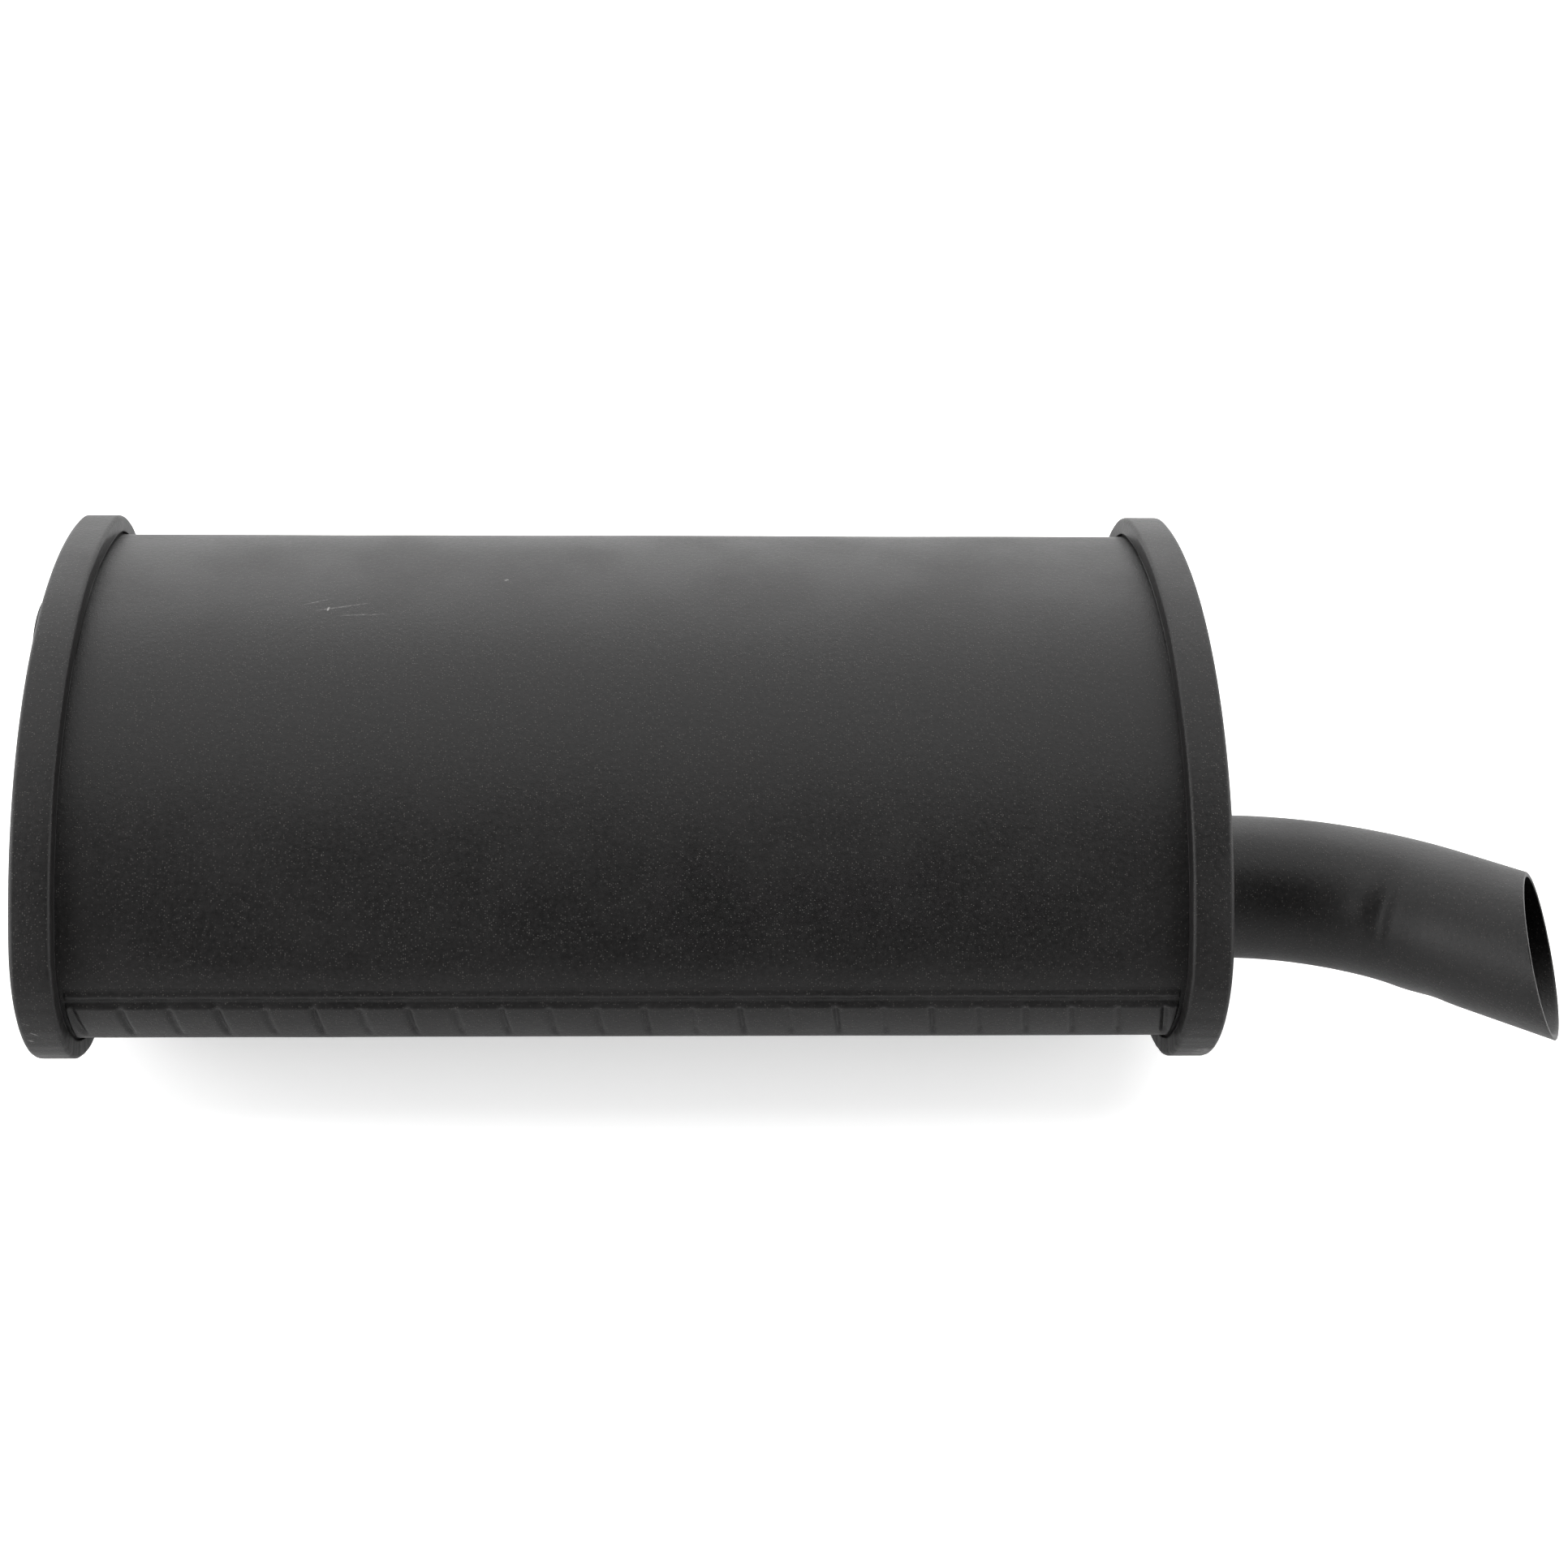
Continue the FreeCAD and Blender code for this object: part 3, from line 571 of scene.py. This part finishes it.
def bead_mesh(name, centre, axis, radius, leg, ripples, seed):
    """Ring of weld: a circle of radius leg carried round the pipe, swelling at each ripple of the pool.

    Ripples lean back along the run, so the phase also depends on the angle q in the bead's section.
    """
    u = np.linspace(0, 2 * math.pi, 12 * ripples, endpoint=False)[:, None]
    q = np.linspace(0, 2 * math.pi, 20, endpoint=False)[None, :]
    axis = np.array(axis, dtype=float)
    side = np.cross(axis, (0.0, 0.0, 1.0) if abs(axis[2]) < 0.9 else (0.0, 1.0, 0.0))
    side /= np.linalg.norm(side)
    up = np.cross(axis, side)
    phase = (u * ripples / (2 * math.pi) + 0.5 * np.cos(q) + 0.15 * np.sin(5 * u + seed)) % 1.0
    scallop = 0.16 * (1 - phase) ** 2
    drift = 0.07 * np.sin(3 * u + seed) + 0.05 * np.sin(7 * u + 2 * seed)
    size = leg * (0.92 + scallop + drift)
    out = radius + size * np.cos(q)
    lift = size * np.sin(q)
    ring = np.cos(u)[..., None] * side + np.sin(u)[..., None] * up
    points = np.array(centre) + out[..., None] * ring + lift[..., None] * axis
    return grid_mesh(name, points, close_rows=True, close_columns=True, crease=60.0)


# ---- finishes ----

class Nodes:
    """Short calls for building a material's node tree."""

    def __init__(self, name):
        self.material = bpy.data.materials.new(name)
        self.material.use_nodes = True
        self.tree = self.material.node_tree
        self.shader = self.tree.nodes["Principled BSDF"]
        self.place = self.add("ShaderNodeTexCoord").outputs["Object"]

    def add(self, kind, **settings):
        node = self.tree.nodes.new(kind)
        for key, value in settings.items():
            setattr(node, key, value)
        return node

    def link(self, value, socket):
        if isinstance(value, bpy.types.NodeSocket):
            self.tree.links.new(value, socket)
        else:
            socket.default_value = value

    def noise(self, scale, detail=2.0, roughness=0.5, place=None):
        node = self.add("ShaderNodeTexNoise")
        self.link(place or self.place, node.inputs["Vector"])
        node.inputs["Scale"].default_value = scale
        node.inputs["Detail"].default_value = detail
        node.inputs["Roughness"].default_value = roughness
        return node.outputs["Fac"]

    def cells(self, scale, feature="F1", place=None):
        node = self.add("ShaderNodeTexVoronoi", feature=feature)
        self.link(place or self.place, node.inputs["Vector"])
        node.inputs["Scale"].default_value = scale
        return node

    def ramp(self, value, low, high, out_low=0.0, out_high=1.0):
        node = self.add("ShaderNodeMapRange", interpolation_type="SMOOTHSTEP")
        self.link(value, node.inputs["Value"])
        for socket, number in zip(("From Min", "From Max", "To Min", "To Max"), (low, high, out_low, out_high)):
            node.inputs[socket].default_value = number
        return node.outputs["Result"]

    def maths(self, operation, a, b=0.0):
        node = self.add("ShaderNodeMath", operation=operation)
        self.link(a, node.inputs[0])
        self.link(b, node.inputs[1])
        return node.outputs[0]

    def mix(self, share, a, b):
        node = self.add("ShaderNodeMix", data_type="RGBA")
        self.link(share, node.inputs["Factor"])
        self.link(a, node.inputs["A"])
        self.link(b, node.inputs["B"])
        return node.outputs["Result"]

    def bump(self, height, distance, strength=1.0, under=None):
        node = self.add("ShaderNodeBump")
        node.inputs["Distance"].default_value = distance
        node.inputs["Strength"].default_value = strength
        self.link(height, node.inputs["Height"])
        if under is not None:
            self.link(under, node.inputs["Normal"])
        return node.outputs["Normal"]

    def streak(self, middle, turn, half_sizes):
        """1 inside an ellipsoid at middle, turned and stretched: a scratch, a speck, a scuffed patch or a painted
        highlight.
        """
        node = self.add("ShaderNodeMapping", vector_type="TEXTURE")
        self.link(self.place, node.inputs["Vector"])
        node.inputs["Location"].default_value = middle
        node.inputs["Rotation"].default_value = turn
        node.inputs["Scale"].default_value = half_sizes
        length_node = self.add("ShaderNodeVectorMath", operation="LENGTH")
        self.link(node.outputs["Vector"], length_node.inputs[0])
        return self.ramp(length_node.outputs["Value"], 1.0, 0.55)


def opaque(colour):
    return (*colour[:3], 1.0)


def heat_paint(look, name="heat_paint", wear_and_highlight=()):
    """Matt black stoving paint: fine orange peel, painted darker in its hollows and lighter on its crests as painted
    shade and highlight, sparse pale grains, dusty patches, and pale marks: scuffs in the paint and, where given, a
    painted highlight.
    """
    n = Nodes(name)
    patches = n.noise(26.0, 4.0, 0.55)
    peel = n.noise(620.0, 3.0, 0.55)
    grit = n.noise(2100.0, 2.0, 0.6)
    cells = n.cells(1450.0)
    chance = n.add("ShaderNodeSeparateColor")
    n.link(cells.outputs["Color"], chance.inputs["Color"])
    rare = n.ramp(chance.outputs["Red"], 0.38, 1.0)
    grains = n.maths("MULTIPLY", rare, n.ramp(cells.outputs["Distance"], 0.34, 0.16))
    dust = n.ramp(patches, 0.40, 0.68, 0.0, 0.30)
    # Painted shade and highlight: the peel's hollows are painted darker and its crests lighter, following the noise
    # that drives its bump.
    hollow, crest, dusty = (opaque([share * c for c in look.black]) for share in (0.72, 1.45, 2.1))
    colour = n.mix(n.ramp(peel, 0.30, 0.72), hollow, crest)
    colour = n.mix(dust, colour, dusty)
    colour = n.mix(n.maths("MULTIPLY", grains, 0.40), colour, opaque(look.grain))
    # Pale marks: scuffs and scratches in the paint, and on the rear rim a painted highlight.
    rub_and_highlight_marks = None
    for middle, turn, half_sizes, strength in wear_and_highlight:
        mark = n.maths("MULTIPLY", n.streak(middle, turn, half_sizes), strength)
        mark = n.maths("MULTIPLY", mark, n.ramp(n.noise(900.0, 3.0, 0.7), 0.34, 0.60))
        rub_and_highlight_marks = mark if rub_and_highlight_marks is None else n.maths("MAXIMUM", rub_and_highlight_marks, mark)
    if rub_and_highlight_marks is not None:
        colour = n.mix(rub_and_highlight_marks, colour, opaque(look.scuff_and_highlight))
    n.link(colour, n.shader.inputs["Base Color"])
    rough = n.maths("ADD", n.ramp(patches, 0.35, 0.7, -0.03, 0.05), n.ramp(peel, 0.2, 0.8, -0.03, 0.03))
    n.link(n.maths("ADD", rough, look.roughness), n.shader.inputs["Roughness"])
    n.shader.inputs["Specular IOR Level"].default_value = look.gloss
    coarse = n.bump(peel, 0.00022, 0.55)
    fine = n.bump(grit, 0.00010, 0.65, coarse)
    n.link(n.bump(grains, 0.00012, 0.8, fine), n.shader.inputs["Normal"])
    return n.material


def weld_paint(look):
    """The same paint over a bead: coarser, with soot in the hollows."""
    n = Nodes("painted_bead")
    rough_grain = n.noise(900.0, 4.0, 0.65)
    soot = n.noise(160.0, 3.0, 0.6)
    colour = n.mix(n.ramp(soot, 0.35, 0.7), opaque([0.7 * c for c in look.black]),
                   opaque([2.2 * c for c in look.black]))
    n.link(colour, n.shader.inputs["Base Color"])
    n.link(n.ramp(rough_grain, 0.3, 0.7, 0.42, 0.62), n.shader.inputs["Roughness"])
    n.link(n.bump(rough_grain, 0.00025, 0.7), n.shader.inputs["Normal"])
    return n.material


def bare_steel(look, name="aluminised_sheet", scale=(14.0, 240.0, 240.0)):
    """Dull aluminised sheet: rolling lines along the body and a faint spangle."""
    n = Nodes(name)
    stretch = n.add("ShaderNodeMapping")
    n.link(n.place, stretch.inputs["Vector"])
    stretch.inputs["Scale"].default_value = scale
    lines = n.noise(6.0, 4.0, 0.6, stretch.outputs["Vector"])
    spangle = n.cells(260.0)
    stain = n.noise(18.0, 4.0, 0.6)
    tone = n.maths("ADD", n.ramp(lines, 0.3, 0.7, -0.06, 0.06),
                   n.ramp(spangle.outputs["Distance"], 0.1, 0.7, 0.03, -0.03))
    colour = n.mix(n.ramp(stain, 0.35, 0.75, 0.0, 0.5), opaque(look.bare), (0.20, 0.17, 0.14, 1.0))
    n.link(colour, n.shader.inputs["Base Color"])
    n.shader.inputs["Metallic"].default_value = 0.85
    n.link(n.maths("ADD", tone, 0.46), n.shader.inputs["Roughness"])
    n.link(n.bump(lines, 0.00008, 0.6), n.shader.inputs["Normal"])
    return n.material


def fibre(name, pale, dark, metallic, scale):
    """Matted fibre: stretched noise in two directions over a soft cloud."""
    n = Nodes(name)
    threads = []
    for stretch in ((1.0, 9.0, 9.0), (7.0, 1.3, 6.0)):
        mapping = n.add("ShaderNodeMapping")
        n.link(n.place, mapping.inputs["Vector"])
        mapping.inputs["Scale"].default_value = stretch
        threads.append(n.noise(scale, 5.0, 0.7, mapping.outputs["Vector"]))
    tangle = n.maths("MAXIMUM", threads[0], threads[1])
    n.link(n.mix(n.ramp(tangle, 0.42, 0.72), dark, pale), n.shader.inputs["Base Color"])
    n.shader.inputs["Metallic"].default_value = metallic
    n.shader.inputs["Roughness"].default_value = 0.8
    n.link(n.bump(tangle, 0.0009, 1.0), n.shader.inputs["Normal"])
    return n.material


def floor_finish(look):
    """Plain pale floor with the faintest tooth, lifted towards white where the camera sees it directly."""
    n = Nodes("studio_floor")
    tooth = n.noise(420.0, 2.0)
    n.link(n.mix(n.ramp(tooth, 0.3, 0.7), opaque(look.floor), opaque([0.985 * c for c in look.floor])),
           n.shader.inputs["Base Color"])
    n.shader.inputs["Roughness"].default_value = 0.75
    n.shader.inputs["Emission Color"].default_value = (1.0, 1.0, 1.0, 1.0)
    seen = n.add("ShaderNodeLightPath").outputs["Is Camera Ray"]
    n.link(n.maths("MULTIPLY", seen, 0.35), n.shader.inputs["Emission Strength"])
    return n.material


def finish(name):
    """A material made once and shared."""
    found = bpy.data.materials.get(name)
    if found:
        return found
    look = bpy.context.scene.silencer_paint
    makers = {"heat_paint": lambda: heat_paint(look, wear_and_highlight=BODY_WEAR),
              "rim_paint": lambda: heat_paint(look, "rim_paint", RIM_WEAR_AND_HIGHLIGHT),
              "tail_paint": lambda: heat_paint(look, "tail_paint", TAIL_WEAR),
              "painted_bead": lambda: weld_paint(look),
              "aluminised_sheet": lambda: bare_steel(look),
              "glass_wool": lambda: fibre("glass_wool", (0.74, 0.66, 0.42, 1), (0.42, 0.34, 0.18, 1), 0.0, 160),
              "steel_wool": lambda: fibre("steel_wool", (0.46, 0.46, 0.47, 1), (0.10, 0.10, 0.10, 1), 0.9, 260)}
    return makers[name]()


# Marks in the paint: middle, turn and half sizes of each patch in metres, and how much paint is gone, which for a
# painted highlight is how far it is lightened.
BODY_WEAR = (
    ((0.113, -0.012, 0.052), (0.0, 0.0, 0.22), (0.0130, 0.00035, 0.006), 0.35),
    ((0.121, -0.016, 0.053), (0.0, 0.0, 0.05), (0.0110, 0.00030, 0.006), 0.30),
    ((0.105, -0.009, 0.051), (0.0, 0.0, 0.35), (0.0070, 0.00030, 0.006), 0.30),
    ((0.109, -0.013, 0.052), (0.0, 0.0, 1.35), (0.0014, 0.00050, 0.006), 0.9),
    ((0.170, 0.004, 0.047), (0.0, 0.0, 0.4), (0.0011, 0.00070, 0.006), 0.8),
    ((0.336, -0.147, 0.019), (0.0, 0.0, 0.0), (0.00035, 0.006, 0.0022), 0.95),
    ((0.126, -0.142, 0.027), (0.0, 0.0, 0.0), (0.0150, 0.003, 0.00035), 0.35),
)
RIM_WEAR_AND_HIGHLIGHT = (
    ((0.0150, -0.1560, 0.0120), (0.0, 0.5, 0.0), (0.0022, 0.0060, 0.00045), 0.60),
    ((0.0170, -0.1560, 0.0070), (0.0, 0.6, 0.0), (0.0026, 0.0060, 0.00040), 0.50),
    ((0.0150, -0.1560, 0.0030), (0.0, 0.4, 0.0), (0.0016, 0.0060, 0.00060), 0.45),
    # Painted highlight: pale patch on the rear rim's lower near edge, lightened where it reflects the bright floor.
    ((0.4080, -0.1530, -0.0100), (0.0, 0.0, 0.0), (0.0040, 0.0030, 0.0060), 0.30),
)
TAIL_WEAR = (
    ((0.5270, -0.1640, 0.0080), (0.0, 0.0, 0.0), (0.0050, 0.0050, 0.0070), 0.45),
)

PAINTED_NODES = ("inlet_socket", "front_hanger_saddle", "rear_hanger_saddle", "front_hanger_rod",
                 "rear_hanger_rod")
BARE_NODES = ("inner_shell", "baffle_front", "baffle_middle", "baffle_rear", "inlet_perforated_tube",
              "outlet_perforated_tube", "return_tube_upper", "return_tube_lower", "resonator_neck")


def coat(node, material):
    """Gives a CAD node its finish without touching its mesh."""
    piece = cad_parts[node]
    if not piece.material_slots:
        piece.data.materials.append(material)
    for holder in piece.material_slots:
        holder.link = "OBJECT"
        holder.material = material


# ---- operators ----

class SILENCER_OT_wrap(bpy.types.Operator):
    """Outer wrap, turned up inside both rims"""
    bl_idname = "silencer.wrap"
    bl_label = "Body wrap"

    def execute(self, context):
        scene = context.scene
        mesh = wrap_mesh(scene.silencer_body, scene.silencer_rim)
        place("body_wrap", mesh, finish("heat_paint"), "black_heat_paint", "outer_shell")
        return {"FINISHED"}


class SILENCER_OT_seam(bpy.types.Operator):
    """Staked lock seam along the tight end"""
    bl_idname = "silencer.seam"
    bl_label = "Lock seam"

    def execute(self, context):
        scene = context.scene
        mesh = seam_mesh(scene.silencer_body, scene.silencer_seam)
        place("lock_seam", mesh, finish("heat_paint"), "black_heat_paint")
        return {"FINISHED"}


class SILENCER_OT_caps(bpy.types.Operator):
    """Pressed end caps with their crimped rims"""
    bl_idname = "silencer.caps"
    bl_label = "End caps"

    def execute(self, context):
        scene = context.scene
        settings = (scene.silencer_body, scene.silencer_rim)
        front = cap_mesh("front_cap_rim", *settings, 0.0, SOCKET_RADIUS, INLET_COLLAR_X, False)
        rear = cap_mesh("rear_cap_rim", *settings, TAIL_Y, scene.silencer_tail.radius, TAIL_COLLAR_X, True)
        place("front_cap_rim", front, finish("rim_paint"), "black_heat_paint", "front_end_cap")
        place("rear_cap_rim", rear, finish("rim_paint"), "black_heat_paint", "rear_end_cap")
        return {"FINISHED"}


class SILENCER_OT_tail(bpy.types.Operator):
    """Bent tail pipe with its slash cut"""
    bl_idname = "silencer.tail"
    bl_label = "Tail pipe"

    def execute(self, context):
        mesh = tail_mesh(context.scene.silencer_tail, TAIL_START_X)
        place("tail_pipe_outer", mesh, finish("tail_paint"), "black_heat_paint", "tail_pipe")
        return {"FINISHED"}


class SILENCER_OT_welds(bpy.types.Operator):
    """Rippled weld beads at both pipes"""
    bl_idname = "silencer.welds"
    bl_label = "Weld beads"

    def execute(self, context):
        leg, sunk, out = 2.3 * MM, 0.3 * MM, 0.5 * MM
        pipe = context.scene.silencer_tail.radius
        inlet = bead_mesh("inlet_bead", (INLET_COLLAR_X - sunk, 0, 0), (1, 0, 0), SOCKET_RADIUS + out, leg, 64, 1.0)
        outlet = bead_mesh("tail_bead", (TAIL_COLLAR_X + sunk, TAIL_Y, 0), (1, 0, 0), pipe + out, leg, 60, 2.0)
        place("inlet_bead", inlet, finish("painted_bead"), "painted_weld", "inlet_weld")
        place("tail_bead", outlet, finish("painted_bead"), "painted_weld", "tail_weld")
        return {"FINISHED"}


class SILENCER_OT_fittings(bpy.types.Operator):
    """Paint on the socket, saddles, rods and their beads"""
    bl_idname = "silencer.fittings"
    bl_label = "Painted fittings"

    def execute(self, context):
        for node in PAINTED_NODES:
            coat(node, finish("rim_paint"))
        for node in ("front_hanger_weld", "rear_hanger_weld"):
            coat(node, finish("painted_bead"))
        return {"FINISHED"}


class SILENCER_OT_inside(bpy.types.Operator):
    """Finishes of the plates, tubes and wool inside"""
    bl_idname = "silencer.inside"
    bl_label = "Inner pieces"

    def execute(self, context):
        for node in BARE_NODES:
            coat(node, finish("aluminised_sheet"))
        for node in ("inlet_steel_wool", "outlet_steel_wool"):
            coat(node, finish("steel_wool"))
        coat("wool_packing", finish("glass_wool"))
        return {"FINISHED"}


def soft_light(name, where, target, size, power):
    """Rectangular soft box at where, facing target."""
    data = bpy.data.lights.new(name, "AREA")
    data.shape = "RECTANGLE"
    data.size, data.size_y = size
    data.energy = power
    lamp = bpy.data.objects.new(name, data)
    bpy.context.scene.collection.objects.link(lamp)
    lamp.location = where
    lamp.rotation_euler = (Vector(target) - Vector(where)).to_track_quat("-Z", "Y").to_euler()


# Soft boxes: name, place from the body's middle, size, power in watts.
STUDIO_LIGHTS = (
    ("overhead_light", (0.0, 1.05, 1.65), (4.2, 2.9), 98.0),
    ("far_light", (0.0, 2.1, 0.50), (3.6, 1.1), 46.0),
    ("left_light", (-1.7, -0.45, 0.85), (1.9, 1.3), 31.0),
    ("right_light", (1.7, -0.45, 0.85), (1.9, 1.3), 25.0),
    ("front_light", (0.0, -1.9, 0.30), (3.0, 0.5), 5.0),
    ("left_cove", (-1.5, 0.1, 0.16), (2.4, 0.5), 24.0),
    ("right_cove", (1.6, 0.1, 0.16), (2.4, 0.5), 15.0),
)


class SILENCER_OT_stage(bpy.types.Operator):
    """Plain floor, soft lights and the camera"""
    bl_idname = "silencer.stage"
    bl_label = "Stage"

    def execute(self, context):
        scene = context.scene
        look = scene.silencer_stage
        side = np.linspace(-look.floor_reach, look.floor_reach, 5)
        gx, gy = np.meshgrid(side, side, indexing="ij")
        sheet = np.stack([gx + X_MIDDLE, gy + BODY_Y, np.full_like(gx, FLOOR_Z)], axis=-1)
        mesh = grid_mesh("floor", sheet)
        mesh.flip_normals()
        mesh.materials.append(floor_finish(look))
        floor = bpy.data.objects.new("floor", mesh)
        scene.collection.objects.link(floor)
        scene.view_settings.view_transform = "Standard"
        middle = Vector((X_MIDDLE, BODY_Y, 0.0))
        for name, offset, size, power in STUDIO_LIGHTS:
            soft_light(name, middle + Vector(offset), middle, size, power)
        world = bpy.data.worlds.new("studio")
        scene.world = world
        world.use_nodes = True
        background = world.node_tree.nodes["Background"]
        background.inputs["Color"].default_value = (1.0, 1.0, 1.0, 1.0)
        background.inputs["Strength"].default_value = look.fill
        self.add_camera(scene, look, middle)
        return {"FINISHED"}

    def add_camera(self, scene, look, middle):
        """Camera in the body's middle plane, above the seam side, turned a little towards the tail pipe."""
        data = bpy.data.cameras.new("camera")
        data.sensor_width = 36.0
        data.lens = look.lens
        data.shift_x = look.shift
        data.clip_start = 0.01
        forward = Vector((0.0, math.cos(look.elevation), -math.sin(look.elevation)))
        up = Vector((0.0, math.sin(look.elevation), math.cos(look.elevation)))
        right = Vector((1.0, 0.0, 0.0))
        turned = forward * math.cos(look.yaw) + right * math.sin(look.yaw)
        side = turned.cross(up)
        camera = bpy.data.objects.new("camera", data)
        scene.collection.objects.link(camera)
        axes = Matrix((side, up, -turned)).transposed().to_4x4()
        camera.matrix_world = Matrix.Translation(middle - forward * look.distance + up * look.rise) @ axes
        scene.camera = camera


OPERATORS = (SILENCER_OT_wrap, SILENCER_OT_seam, SILENCER_OT_caps, SILENCER_OT_tail, SILENCER_OT_welds,
             SILENCER_OT_fittings, SILENCER_OT_inside, SILENCER_OT_stage)


class SILENCER_PT_pieces(bpy.types.Panel):
    """Lists the silencer's pieces"""
    bl_idname = "SILENCER_PT_pieces"
    bl_label = "Exhaust silencer"
    bl_space_type = "VIEW_3D"
    bl_region_type = "UI"
    bl_category = "Silencer"

    def draw(self, context):
        for operator in OPERATORS:
            self.layout.operator(operator.bl_idname, text=operator.bl_label)
        for name, group in GROUPS.items():
            box = self.layout.box()
            for field in group.__annotations__:
                box.prop(getattr(context.scene, name), field)


CLASSES = (*GROUPS.values(), *OPERATORS, SILENCER_PT_pieces)


def register():
    for item in CLASSES:
        bpy.utils.register_class(item)
    for name, group in GROUPS.items():
        setattr(bpy.types.Scene, name, bpy.props.PointerProperty(type=group))


def unregister():
    for name in GROUPS:
        delattr(bpy.types.Scene, name)
    for item in reversed(CLASSES):
        bpy.utils.unregister_class(item)


def main():
    register()
    bpy.ops.silencer.wrap()
    bpy.ops.silencer.seam()
    bpy.ops.silencer.caps()
    bpy.ops.silencer.tail()
    bpy.ops.silencer.welds()
    bpy.ops.silencer.fittings()
    bpy.ops.silencer.inside()
    bpy.ops.silencer.stage()


if __name__ == "__main__":
    main()
